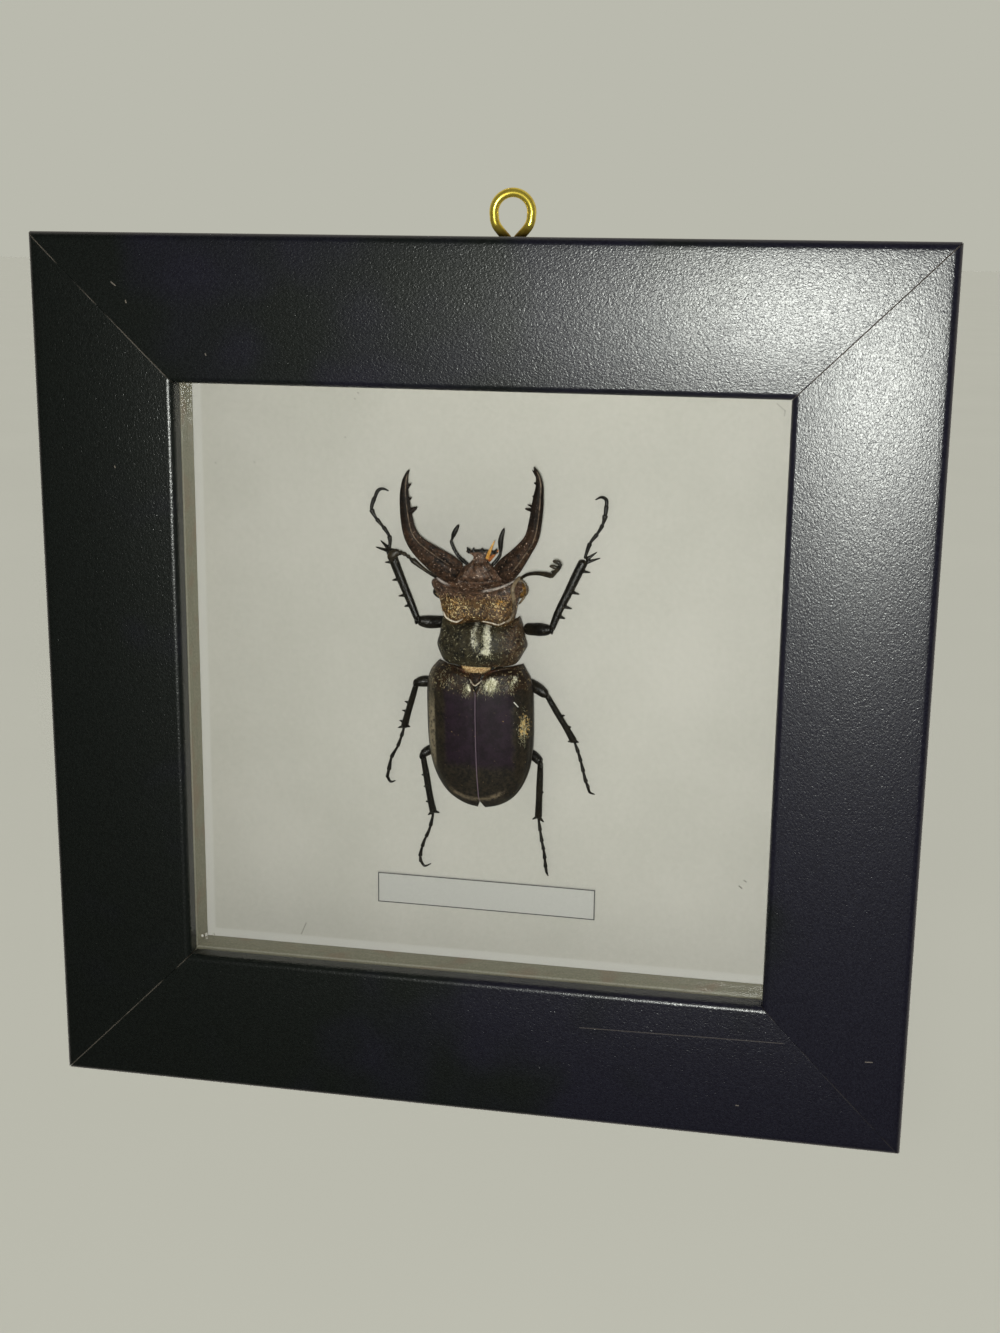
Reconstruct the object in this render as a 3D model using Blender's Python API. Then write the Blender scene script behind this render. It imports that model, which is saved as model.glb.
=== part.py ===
"""Framed stag beetle: a square black moulding with glass, a pale board, a dried beetle and a brass hanging eye.

The model is in metres with +Z up, and its front faces -Y. The origin is the centre of the back face, which lies
against the wall. Left and right are as seen from the front. Sizes below are in millimetres, and solid() turns
them into metres. A point on the beetle is given as x, z and its height over the board.
"""
import bpy
import bmesh
import numpy as np

MM = 0.001
GAP = 0.3

# Frame
FRAME_SIDE = 190.0
FRAME_DEPTH = 27.0
RAIL_WIDTH = 29.8
FACE_SLOPE = 1.1
OUTER_ROUND = 2.0
INNER_ROUND = 1.6
LIP_BACK = 5.3
RABBET_FROM_EDGE = 24.6
GLASS_THICKNESS = 1.8
SPACER_THICKNESS = 2.0
BOARD_FRONT = 21.0
BOARD_THICKNESS = 2.2
HALF_SIDE = FRAME_SIDE / 2
INSIDE_HALF = HALF_SIDE - RABBET_FROM_EDGE - GAP
GLASS_FRONT = LIP_BACK + GAP
SPACER_FRONT = GLASS_FRONT + GLASS_THICKNESS + GAP
BOARD_HEIGHT = FRAME_DEPTH - BOARD_FRONT

# Label: width, height, thickness and middle
LABEL_SIZE = (50.7, 7.3)
LABEL_THICKNESS = 0.3
LABEL_MIDDLE = (-0.3, -52.1)

# Hanging eye: its middle stands over the top rail, right of the frame's middle
EYE_X = 3.95
EYE_DEPTH = 20.0
EYE_RADIUS = 4.0
EYE_WIRE = 0.85
EYE_MIDDLE_Z = HALF_SIDE + 5.05
SHANK_LENGTH = 8.5

# Beetle
WING_LENGTH = 33.0
WING_BASE = (-1.0, 4.0)
WING_LEAN = 0.0245
WING_HALF_WIDTH = 11.9
WING_THICKNESS = 0.9
WING_MARGIN = 5.2
WING_TOP = 11.3
BEETLE_BLACK = (0.020, 0.016, 0.013)
BEETLE_BROWN = (0.060, 0.030, 0.020)


def remove_everything():
    for item in list(bpy.data.objects):
        bpy.data.objects.remove(item, do_unlink=True)


def material(name, colour, roughness, metallic=0.0):
    made = bpy.data.materials.new(name)
    made.use_nodes = True
    shader = made.node_tree.nodes["Principled BSDF"]
    shader.inputs["Base Color"].default_value = (*colour, 1.0)
    shader.inputs["Roughness"].default_value = roughness
    shader.inputs["Metallic"].default_value = metallic
    return made


def solid(name, points, faces, look=None):
    """One closed mesh object from points in millimetres, with its faces turned outwards."""
    mesh = bpy.data.meshes.new(name)
    mesh.from_pydata((np.asarray(points, float).reshape(-1, 3) * MM).tolist(), [], faces)
    shape = bmesh.new()
    shape.from_mesh(mesh)
    bmesh.ops.recalc_face_normals(shape, faces=shape.faces)
    shape.to_mesh(mesh)
    shape.free()
    if look:
        mesh.materials.append(look)
    made = bpy.data.objects.new(name, mesh)
    bpy.context.scene.collection.objects.link(made)
    return made


def loft(name, rings, look=None):
    """Joins rings of points, one after another, into a closed skin with a flat cap at each end."""
    rings = np.asarray(rings, float)
    stations, sides = rings.shape[:2]
    faces = []
    for i in range(stations - 1):
        for j in range(sides):
            k = (j + 1) % sides
            faces.append((i * sides + j, i * sides + k, (i + 1) * sides + k, (i + 1) * sides + j))
    faces.append(tuple(range(sides)))
    faces.append(tuple(range((stations - 1) * sides, stations * sides)))
    return solid(name, rings, faces, look)


def block(name, low, high, look=None):
    """A rectangular solid between two corners, each given as x, depth behind the front and z."""
    ring = [(low[0], low[2]), (high[0], low[2]), (high[0], high[2]), (low[0], high[2])]
    rings = [[(x, depth - FRAME_DEPTH, z) for x, z in ring] for depth in (low[1], high[1])]
    return loft(name, rings, look)


def place(x, z, height):
    """A point at a height over the board, in the frame's own axes."""
    x, z, height = np.broadcast_arrays(x, z, height)
    return np.stack([x, -(BOARD_HEIGHT + height), z], -1)


def smooth(points, count):
    """Points along a smooth curve through the given rows, by the Catmull-Rom rule."""
    rows = np.asarray(points, float)
    padded = np.vstack([2 * rows[0] - rows[1], rows, 2 * rows[-1] - rows[-2]])
    at = np.linspace(0, len(rows) - 1, count)
    k = np.minimum(at.astype(int), len(rows) - 2)
    t = (at - k)[:, None]
    a, b, c, d = (padded[k + i] for i in range(4))
    return 0.5 * (2 * b + (c - a) * t + (2 * a - 5 * b + 4 * c - d) * t**2 + (3 * b - a - 3 * c + d) * t**3)


def tube(name, points, count, sides=8, flat=1.0, grow=0.0):
    """A limb along points of x, z, height and radius, with each ring square to the path.

    flat is the section's thickness over its width, and grow makes it fatter and longer all round.
    """
    rows = smooth(points, count)
    path = place(rows[:, 0], rows[:, 1], rows[:, 2])
    along = np.gradient(path, axis=0)
    along /= np.linalg.norm(along, axis=1, keepdims=True)
    path[0] -= along[0] * grow
    path[-1] += along[-1] * grow
    sideways = np.cross(along, (0.0, -1.0, 0.0))
    sideways /= np.linalg.norm(sideways, axis=1, keepdims=True)
    upward = np.cross(sideways, along)
    angle = np.arange(sides) * 2 * np.pi / sides + np.pi / sides
    wide = (rows[:, 3] + grow)[:, None, None]
    thick = (rows[:, 3] * flat + grow)[:, None, None]
    rings = path[:, None] + wide * np.cos(angle)[:, None] * sideways[:, None]
    return loft(name, rings + thick * np.sin(angle)[:, None] * upward[:, None])


def spike(root, tip, radius, sides=5):
    """A tooth or spine: a short tube from its root to a blunt point, both as x, z and height."""
    rows = [(*root, radius), (*tip, radius * 0.15)]
    return tube("spike", rows, 2, sides)


def combine(first, others, operation):
    """Applies a Boolean of all the other objects to the first one, then removes them."""
    group = bpy.data.collections.new("tools")
    for other in others:
        group.objects.link(other)
    step = first.modifiers.new("step", 'BOOLEAN')
    step.operation = operation
    step.solver = 'EXACT'
    step.operand_type = 'COLLECTION'
    step.collection = group
    bpy.context.view_layer.update()
    result = bpy.data.meshes.new_from_object(first.evaluated_get(bpy.context.evaluated_depsgraph_get()))
    first.modifiers.clear()
    first.data = result
    for other in others:
        bpy.data.objects.remove(other, do_unlink=True)
    bpy.data.collections.remove(group)
    return first


def fuse(name, pieces, look, cutters=()):
    """One solid grown together from several pieces, with room cut for its neighbours."""
    body = combine(pieces[0], pieces[1:], 'UNION')
    if cutters:
        combine(body, cutters, 'DIFFERENCE')
    body.name = name
    body.data.name = name
    body.data.materials.clear()
    body.data.materials.append(look)
    return body


def moulding_profile():
    """The rail's section as distance in from its outer edge and depth behind its front."""
    turn = np.linspace(0, np.pi / 2, 5)
    outer = [(OUTER_ROUND * (1 - np.cos(a)), OUTER_ROUND * (1 - np.sin(a))) for a in turn]
    start = RAIL_WIDTH - INNER_ROUND
    inner = [(start + INNER_ROUND * np.sin(a), FACE_SLOPE + INNER_ROUND * (1 - np.cos(a))) for a in turn]
    back = [(RAIL_WIDTH, LIP_BACK), (RABBET_FROM_EDGE, LIP_BACK), (RABBET_FROM_EDGE, FRAME_DEPTH), (0, FRAME_DEPTH)]
    return np.array(outer + inner + back)


def make_frame():
    """Four mitred rails, turned about the middle, with a hole in the top one for the eye's shank."""
    black = material("frame_black", (0.010, 0.010, 0.011), 0.35)
    profile = moulding_profile()
    mitre = GAP / 2 * np.sqrt(2)
    half_length = HALF_SIDE - profile[:, 0] - mitre
    rings = [
        np.stack([side * half_length, profile[:, 1] - FRAME_DEPTH, HALF_SIDE - profile[:, 0]], -1)
        for side in (-1, 1)
    ]
    for name, turn in (("rail_top", 0), ("rail_right", 90), ("rail_bottom", 180), ("rail_left", 270)):
        loft(name, rings, black).rotation_euler[1] = np.radians(turn)
    hole = upright_cylinder("hole", EYE_WIRE + GAP, HALF_SIDE - SHANK_LENGTH - 2 * GAP, HALF_SIDE + 1, 12)
    combine(bpy.data.objects["rail_top"], [hole], 'DIFFERENCE')


def upright_cylinder(name, radius, low, high, sides):
    """A round post at the hanging eye's place, between two heights."""
    angle = np.arange(sides) * 2 * np.pi / sides
    ring = np.stack([EYE_X + radius * np.cos(angle), EYE_DEPTH - FRAME_DEPTH + radius * np.sin(angle)], -1)
    return loft(name, [np.insert(ring, 2, z, axis=1) for z in (low, high)])


def make_box():
    """Glass, spacers, board and back panel, one behind another inside the rabbet."""
    glass = material("glass", (0.9, 0.95, 0.93), 0.02)
    spacer = material("spacer_grey", (0.22, 0.23, 0.18), 0.7)
    paper = material("board_paper", (0.55, 0.54, 0.49), 0.8)
    panel = material("back_brown", (0.30, 0.19, 0.10), 0.8)
    side = INSIDE_HALF
    block("glass_pane", (-side, GLASS_FRONT, -side), (side, GLASS_FRONT + GLASS_THICKNESS, side), glass)
    wall = side - SPACER_THICKNESS
    low, high = SPACER_FRONT, BOARD_FRONT - GAP
    block("spacer_top", (-side, low, wall), (side, high, side), spacer)
    block("spacer_bottom", (-side, low, -side), (side, high, -wall), spacer)
    block("spacer_left", (-side, low, GAP - wall), (-wall, high, wall - GAP), spacer)
    block("spacer_right", (wall, low, GAP - wall), (side, high, wall - GAP), spacer)
    board_back = BOARD_FRONT + BOARD_THICKNESS
    block("mount_board", (-side, BOARD_FRONT, -side), (side, board_back, side), paper)
    block("back_panel", (-side, board_back + GAP, -side), (side, FRAME_DEPTH, side), panel)


def make_label():
    """The paper strip under the beetle, just off the board."""
    paper = material("label_paper", (0.45, 0.47, 0.47), 0.8)
    (x, z), (width, height) = LABEL_MIDDLE, LABEL_SIZE
    back = BOARD_FRONT - GAP
    low = (x - width / 2, back - LABEL_THICKNESS, z - height / 2)
    block("label", low, (x + width / 2, back, z + height / 2), paper)


def make_hanging_eye():
    """A round wire ring that closes on a straight shank, which goes down into the top rail."""
    brass = material("brass", (0.60, 0.42, 0.12), 0.3, 1.0)
    turn = np.arange(24) * 2 * np.pi / 24
    wire = np.arange(8) * 2 * np.pi / 8
    reach = EYE_RADIUS + EYE_WIRE * np.cos(wire)
    x = EYE_X + np.sin(turn)[:, None] * reach
    z = EYE_MIDDLE_Z + np.cos(turn)[:, None] * reach
    y = np.broadcast_to(EYE_DEPTH - FRAME_DEPTH + EYE_WIRE * np.sin(wire), x.shape)
    faces = []
    for i in range(24):
        for j in range(8):
            after, beside = (i + 1) % 24, (j + 1) % 8
            faces.append((i * 8 + j, i * 8 + beside, after * 8 + beside, after * 8 + j))
    ring = solid("ring", np.stack([x, y, z], -1), faces)
    shank = upright_cylinder("shank", EYE_WIRE, HALF_SIDE - SHANK_LENGTH, HALF_SIDE + EYE_WIRE, 10)
    fuse("hanging_screw_eye", [ring, shank], brass)


def wing_half_width(t):
    """Distance from the seam to the side, t millimetres back from the wing cases' front."""
    front = WING_HALF_WIDTH - 2.7 * np.clip(1 - t / 12, 0, 1) ** 4
    rear = np.clip(1 - np.clip((t - 12) / 21, 0, 1) ** 2.8, 0, 1) ** 0.455
    return front * rear


def wing_top(t):
    """Height of the wing cases along the seam."""
    front = WING_TOP - 1.8 * np.clip(1 - t / 11, 0, 1) ** 2
    rear = np.clip(1 - np.clip((t - 11) / 22.2, 0, 1) ** 2.6, 0, 1) ** 0.5
    return WING_MARGIN + (front - WING_MARGIN) * rear


def wing_seam(t):
    """Gap from the middle line to each wing case: open at the shield and again at the tip."""
    return GAP / 2 + 1.9 * np.clip(1 - t / 5.4, 0, 1) + 0.45 * np.clip(t - 31, 0, 2)


def wing_shell(side):
    """One wing case: a curved plate, as a crescent section carried back from the shoulder to the tip."""
    t = WING_LENGTH * np.sin(np.linspace(0, np.pi / 2, 16))[:, None] * 0.998
    arc = np.linspace(0, np.pi / 2, 9)
    rings = []
    for inward, bend in ((0.0, arc), (WING_THICKNESS, arc[::-1])):
        thin = np.minimum(inward, 0.4 * wing_half_width(t))
        seam, width = wing_seam(t), wing_half_width(t) - thin
        across = seam + np.maximum(width - seam, 0.25) * np.sin(bend)
        height = WING_MARGIN + (wing_top(t) - thin - WING_MARGIN) * np.cos(bend) ** 0.85
        notch = 1.7 * np.exp(-(across / 3.8) ** 2) * (1 - t / WING_LENGTH) ** 6
        back = t + notch
        middle = WING_BASE[0] + WING_LEAN * back
        rings.append(place(middle + side * across, WING_BASE[1] - back, height))
    return np.concatenate(rings, 1)


def body_section(stations, margin, count, sides=20, boxy=1.0):
    """Rings along the body from rows of z, middle x, half width, top and underside, widest at the margin."""
    rows = smooth(stations, count)
    z, middle, half, top, under = (rows[:, i][:, None] for i in range(5))
    angle = np.arange(sides) * 2 * np.pi / sides
    rise = np.sign(np.sin(angle)) * np.abs(np.sin(angle)) ** boxy
    height = margin + np.where(rise > 0, (top - margin) * rise, (margin - under) * rise)
    return place(middle + half * np.cos(angle), np.broadcast_to(z, height.shape), height)


def make_wings_and_body():
    brown = material("wing_case", (0.035, 0.018, 0.022), 0.3)
    black = material("under_body", BEETLE_BLACK, 0.4)
    for name, side in (("elytron_left", -1), ("elytron_right", 1)):
        loft(name, wing_shell(side), brown)
    t = np.array([6.0, 10.0, 15.0, 20.0, 25.0, 28.5, 31.0])
    clear = WING_THICKNESS + 2 * GAP
    belly = [(4.1, -1.0, 4.4, 8.2, 3.0), (2.2, -1.0, 6.0, 8.2, 1.6), (0.3, -0.9, 9.2, 8.4, 0.7)]
    for back in t:
        half, top = wing_half_width(back) - clear - 0.2, wing_top(back) - clear - 0.2
        belly.append((WING_BASE[1] - back, WING_BASE[0] + WING_LEAN * back, half, top, 0.4 + 0.06 * back))
    loft("hind_body", body_section(belly, WING_MARGIN, 14, 16, 0.9), black)


def make_scutellum():
    """The shield: a small pointed plate in the space between the wing cases' bases."""
    look = material("shield", BEETLE_BROWN, 0.35)
    rows = [(2.5, 0.9, 9.1), (1.9, 1.05, 9.4), (1.0, 0.8, 9.7), (0.0, 0.42, 9.9), (-0.8, 0.1, 9.9)]
    rings = []
    for z, half, top in rows:
        across = np.array([-1, -0.6, 0, 0.6, 1, 0.6, 0, -0.6]) * half
        lift = np.array([0, 0.25, 0.35, 0.25, 0, -0.4, -0.5, -0.4]) * (0.4 + 0.6 * half)
        rings.append(place(WING_BASE[0] + 0.05 + across, np.full(8, z), top + lift))
    loft("scutellum", rings, look)


def make_pronotum():
    """The front thorax: a wide dome whose front corners reach past the back of the head."""
    look = material("thorax_bronze", (0.030, 0.025, 0.015), 0.3)
    rows = [
        (4.5, -0.8, 7.6, 8.4, 3.2), (4.9, -0.8, 8.6, 9.4, 2.4), (6.2, -0.6, 9.3, 10.3, 1.8),
        (8.4, -0.5, 9.7, 10.8, 1.5), (10.6, -0.5, 9.6, 10.7, 1.5), (12.2, -0.5, 9.2, 10.2, 1.8),
        (12.8, -0.5, 8.6, 9.4, 2.4),
    ]
    rings = body_section(rows, 5.6, 11, 20, 0.8)
    forward = np.linspace(0, 1, len(rings))[:, None] ** 3
    rings[..., 2] += 2.2 * forward * (np.abs(rings[..., 0] + 0.5) / 8.6) ** 18
    loft("pronotum", rings, look)


LEFT_MANDIBLE = [
    (-5.8, 23.7, 6.0, 2.7), (-8.6, 25.4, 6.7, 2.9), (-11.9, 27.8, 7.2, 2.5), (-14.1, 29.6, 7.4, 2.1),
    (-15.5, 31.3, 7.6, 1.75), (-16.4, 33.4, 7.8, 1.5), (-16.9, 36.2, 8.0, 1.35), (-17.2, 39.3, 8.2, 1.15),
    (-17.3, 41.4, 8.3, 0.95), (-17.1, 43.8, 8.4, 0.7), (-16.7, 45.4, 8.4, 0.4), (-16.2, 46.5, 8.4, 0.1),
]
RIGHT_MANDIBLE = [
    (3.7, 23.9, 6.0, 2.4), (5.8, 26.2, 6.8, 2.4), (7.5, 28.2, 7.2, 2.0), (9.0, 30.2, 7.4, 1.7),
    (10.2, 32.0, 7.6, 1.5), (10.9, 34.0, 7.8, 1.4), (11.4, 37.0, 8.0, 1.25), (11.8, 39.8, 8.2, 1.15),
    (11.9, 41.6, 8.3, 1.0), (12.1, 43.8, 8.4, 0.8), (11.5, 45.8, 8.4, 0.45), (10.4, 47.3, 8.4, 0.1),
]
LEFT_TEETH = [
    ((-16.8, 38.2, 8.1), (-14.4, 38.3, 8.2), 0.7), ((-17.0, 40.2, 8.2), (-15.7, 40.7, 8.3), 0.5),
    ((-17.0, 42.9, 8.3), (-15.6, 43.6, 8.4), 0.5),
]
RIGHT_TEETH = [
    ((11.4, 38.0, 8.1), (8.8, 38.5, 8.2), 0.6), ((11.6, 38.9, 8.1), (9.3, 39.6, 8.3), 0.4),
    ((11.8, 41.3, 8.3), (10.4, 41.9, 8.3), 0.5), ((12.0, 43.7, 8.4), (10.7, 44.8, 8.4), 0.5),
]
LEFT_ANTENNA = [
    (-11.4, 22.9, 4.6, 0.35), (-13.6, 23.9, 4.3, 0.4), (-15.9, 25.7, 4.2, 0.45), (-17.2, 26.9, 4.6, 0.3),
    (-18.6, 27.8, 5.0, 0.35), (-19.8, 28.0, 5.3, 0.45), (-20.6, 27.4, 5.4, 0.6), (-20.4, 26.4, 5.4, 0.45),
]
RIGHT_ANTENNA = [
    (8.0, 23.5, 5.8, 0.35), (10.3, 24.5, 7.5, 0.4), (14.0, 25.3, 9.5, 0.4), (15.5, 24.9, 10.4, 0.45),
    (16.2, 26.2, 10.7, 0.35), (16.9, 27.2, 10.9, 0.35), (17.4, 28.2, 11.1, 0.3),
]
CLUB_PLATES = [((16.0, 25.8, 10.6), (14.7, 26.4, 10.6)), ((16.4, 26.8, 10.8), (15.1, 27.3, 10.8)),
               ((16.9, 27.6, 11.0), (15.7, 28.2, 11.0))]


def make_jaws_and_antennae():
    brown = material("jaw_brown", BEETLE_BROWN, 0.3)
    black = material("antenna_black", BEETLE_BLACK, 0.35)
    for side, path, teeth in (("left", LEFT_MANDIBLE, LEFT_TEETH), ("right", RIGHT_MANDIBLE, RIGHT_TEETH)):
        jaw = tube("jaw", path, 20, 10, 0.72)
        fuse("mandible_" + side, [jaw] + [spike(root, tip, radius) for root, tip, radius in teeth], brown)
    left = tube("feeler", LEFT_ANTENNA, 16, 6)
    fuse("antenna_left", [left, spike((-20.2, 27.6, 5.3), (-19.3, 26.5, 5.3), 0.45)], black)
    right = tube("feeler", RIGHT_ANTENNA, 14, 6)
    fuse("antenna_right", [right] + [spike(root, tip, 0.38) for root, tip in CLUB_PLATES], black)


def make_head():
    """The head with its lip as one long dome, plus eyes and mouth feelers, cut clear of the jaws and antennae."""
    look = material("head_brown", BEETLE_BROWN, 0.35)
    rows = [
        (13.5, -1.1, 6.6, 8.2, 3.2), (14.3, -1.1, 7.7, 8.9, 2.6), (16.2, -1.1, 8.2, 9.3, 2.2),
        (18.4, -1.2, 8.8, 9.5, 2.2), (20.0, -1.3, 9.8, 9.6, 2.4), (21.3, -1.4, 10.2, 9.7, 2.6),
        (22.4, -1.6, 9.6, 8.9, 3.0), (23.4, -1.6, 7.8, 8.3, 3.6), (24.5, -1.5, 5.2, 7.9, 4.2),
        (25.9, -1.3, 3.1, 7.6, 4.8), (27.2, -1.2, 2.0, 7.3, 5.4), (28.4, -1.1, 1.6, 7.1, 5.7),
        (29.1, -0.6, 2.8, 7.0, 5.7), (29.7, -0.5, 3.6, 6.9, 5.8), (30.2, -0.5, 3.2, 6.8, 6.0),
    ]
    pieces = [loft("skull", body_section(rows, 6.3, 22, 18, 0.8))]
    for x, z in ((-10.4, 20.4), (7.8, 20.6)):
        pieces.append(tube("eye", [(x, z - 1.4, 5.4, 0.5), (x, z, 5.4, 1.3), (x, z + 1.4, 5.4, 0.5)], 5, 8))
    pieces.append(tube("palp", [(-3.4, 25.4, 5.4, 0.4), (-6.2, 27.7, 5.0, 0.35), (-7.6, 30.4, 5.0, 0.35),
                                (-7.0, 32.6, 5.0, 0.45), (-6.0, 34.5, 5.0, 0.25)], 9, 6))
    pieces.append(tube("palp", [(1.2, 25.6, 5.4, 0.4), (2.9, 27.9, 5.0, 0.35), (3.5, 30.2, 5.0, 0.35),
                                (3.6, 32.2, 5.0, 0.45), (3.9, 34.1, 5.0, 0.25)], 9, 6))
    pieces.append(spike((0.2, 27.6, 6.4), (2.3, 31.7, 6.6), 0.5))
    room = [tube("room", path, 20, 10, 0.72, GAP) for path in (LEFT_MANDIBLE, RIGHT_MANDIBLE)]
    room += [tube("room", LEFT_ANTENNA, 16, 6, 1.0, GAP), tube("room", RIGHT_ANTENNA, 14, 6, 1.0, GAP)]
    fuse("head", pieces, look, room)


# Each leg: thigh, shin and foot as rows of x, z, height and radius, then its spines as root and tip on the shin
LEGS = {
    "leg_front_left": {
        "thigh": [(-9.4, 12.3, 2.5, 0.9), (-11.2, 12.3, 3.5, 1.35), (-13.0, 12.4, 4.3, 1.45), (-15.3, 12.7, 4.9, 0.95)],
        "shin": [(-15.0, 12.6, 4.9, 0.75), (-16.8, 16.6, 4.6, 0.9), (-18.7, 20.7, 4.1, 1.0), (-20.4, 24.5, 3.6, 1.05),
                 (-21.9, 28.4, 3.1, 1.0)],
        "foot": [(-21.9, 28.2, 3.0, 0.4), (-22.0, 30.5, 2.8, 0.45), (-23.0, 32.2, 2.6, 0.4), (-24.3, 33.6, 2.3, 0.4),
                 (-25.5, 35.0, 2.1, 0.4), (-26.3, 36.8, 1.9, 0.55), (-25.7, 39.2, 1.6, 0.4)],
        "claw": [(-25.7, 39.0, 1.6, 0.4), (-25.0, 40.6, 1.5, 0.4), (-23.9, 41.1, 1.4, 0.3), (-22.5, 40.6, 1.2, 0.12)],
        "spines": [((-17.0, 16.0), (-18.4, 15.6)), ((-18.0, 18.2), (-19.8, 17.8)), ((-19.6, 21.6), (-21.3, 21.2)),
                   ((-21.0, 25.2), (-23.1, 25.1)), ((-22.0, 27.6), (-25.3, 28.4)), ((-22.2, 28.2), (-24.1, 29.9))],
    },
    "leg_front_right": {
        "thigh": [(8.5, 11.6, 2.5, 0.9), (10.4, 11.8, 3.5, 1.35), (12.2, 12.0, 4.3, 1.45), (14.7, 12.1, 4.9, 0.95)],
        "shin": [(14.5, 12.1, 4.9, 0.75), (16.0, 16.1, 4.6, 0.9), (17.9, 20.2, 4.1, 1.0), (19.6, 24.1, 3.6, 1.05),
                 (21.2, 27.8, 3.1, 1.0)],
        "foot": [(21.2, 27.8, 3.0, 0.4), (22.3, 31.2, 2.8, 0.45), (23.7, 33.2, 2.5, 0.4), (24.8, 35.2, 2.3, 0.4),
                 (25.3, 37.2, 2.0, 0.55), (25.5, 39.4, 1.7, 0.4)],
        "claw": [(25.5, 39.2, 1.7, 0.4), (25.4, 40.6, 1.6, 0.4), (24.3, 41.1, 1.4, 0.3), (22.9, 40.4, 1.2, 0.12)],
        "spines": [((16.3, 15.2), (17.6, 14.7)), ((17.2, 17.4), (19.0, 16.9)), ((18.8, 20.6), (20.5, 20.1)),
                   ((20.6, 25.2), (22.7, 24.9)), ((21.4, 27.0), (24.8, 28.2)), ((21.5, 27.6), (24.0, 29.5))],
    },
    "leg_middle_left": {
        "thigh": [(-11.5, -1.2, 3.2, 0.9), (-12.7, -1.3, 3.5, 1.2), (-14.2, -1.3, 4.0, 1.25), (-15.7, -1.5, 4.5, 0.8)],
        "shin": [(-15.4, -1.4, 4.5, 0.6), (-16.6, -5.2, 3.9, 0.75), (-17.8, -9.0, 3.2, 0.75), (-18.9, -12.7, 2.4, 0.8)],
        "foot": [(-18.9, -12.6, 2.3, 0.35), (-19.6, -14.9, 2.1, 0.4), (-20.5, -17.3, 1.9, 0.35),
                 (-22.0, -20.1, 1.6, 0.4), (-22.7, -23.1, 1.4, 0.4), (-23.2, -25.2, 1.2, 0.3)],
        "claw": [(-23.1, -24.9, 1.2, 0.3), (-22.4, -26.1, 1.1, 0.25), (-21.2, -25.8, 1.0, 0.1)],
        "spines": [((-17.0, -6.6), (-18.6, -6.3)), ((-17.6, -8.7), (-19.3, -8.5)), ((-18.4, -11.3), (-20.1, -11.1)),
                   ((-18.7, -12.3), (-20.5, -12.9)), ((-18.6, -12.2), (-17.4, -12.5))],
    },
    "leg_middle_right": {
        "thigh": [(9.6, -0.4, 3.3, 0.9), (10.6, -0.8, 3.7, 1.2), (12.2, -1.6, 4.2, 1.25), (14.0, -2.8, 4.6, 0.8)],
        "shin": [(13.8, -2.6, 4.6, 0.6), (15.9, -6.5, 3.8, 0.7), (17.9, -10.0, 3.1, 0.7), (19.8, -13.6, 2.4, 0.8)],
        "foot": [(19.8, -13.5, 2.3, 0.35), (20.8, -16.5, 1.9, 0.4), (21.5, -19.1, 1.7, 0.35),
                 (22.3, -22.4, 1.4, 0.4), (23.0, -24.3, 1.2, 0.35)],
        "claw": [(22.9, -24.0, 1.2, 0.3), (23.3, -25.3, 1.1, 0.28), (24.5, -25.8, 1.0, 0.1)],
        "spines": [((16.6, -7.4), (17.8, -7.3)), ((18.0, -10.0), (19.2, -10.0)), ((19.6, -13.2), (20.9, -13.6)),
                   ((19.5, -13.2), (18.2, -13.6))],
    },
    "leg_hind_left": {
        "thigh": [(-11.3, -16.7, 3.0, 0.8), (-12.4, -17.1, 3.2, 1.1), (-13.4, -17.6, 3.7, 1.05), (-14.3, -18.4, 4.2, 0.8)],
        "shin": [(-14.2, -18.0, 4.2, 0.6), (-13.4, -23.5, 3.5, 0.75), (-12.8, -28.2, 2.9, 0.75), (-12.1, -32.5, 2.2, 0.8)],
        "foot": [(-12.1, -32.4, 2.2, 0.35), (-13.1, -36.5, 1.9, 0.4), (-14.4, -39.6, 1.7, 0.35),
                 (-15.3, -42.8, 1.4, 0.4), (-15.3, -44.9, 1.2, 0.35)],
        "claw": [(-15.3, -44.6, 1.2, 0.3), (-14.4, -45.8, 1.1, 0.25), (-12.8, -45.1, 1.0, 0.1)],
        "spines": [((-13.5, -23.0), (-14.7, -23.3)), ((-13.2, -25.8), (-14.3, -26.1)), ((-12.8, -29.4), (-13.9, -29.9)),
                   ((-12.4, -32.2), (-13.5, -33.2)), ((-12.1, -32.0), (-10.6, -32.4))],
    },
    "leg_hind_right": {
        "thigh": [(9.8, -16.5, 3.0, 0.8), (10.7, -16.9, 3.2, 1.1), (11.7, -17.5, 3.7, 1.05), (12.8, -18.4, 4.2, 0.8)],
        "shin": [(12.6, -18.0, 4.2, 0.6), (12.4, -23.0, 3.5, 0.75), (12.2, -27.5, 2.9, 0.75), (12.0, -31.9, 2.2, 0.8)],
        "foot": [(12.0, -31.8, 2.2, 0.35), (12.7, -36.8, 1.8, 0.4), (13.3, -40.1, 1.5, 0.35), (13.7, -43.9, 1.2, 0.4)],
        "claw": [(13.7, -43.6, 1.2, 0.35), (13.9, -44.9, 1.1, 0.3), (14.3, -46.0, 1.0, 0.1)],
        "spines": [((12.0, -31.4), (10.5, -32.4)), ((12.1, -31.6), (13.3, -32.9)), ((12.3, -25.0), (13.3, -25.6))],
    },
}


def shin_height(shin, z):
    """Height of the shin's middle at a given z, for a spine's root."""
    rows = np.array(sorted(shin, key=lambda row: row[1]))
    return float(np.interp(z, rows[:, 1], rows[:, 2]))


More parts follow.
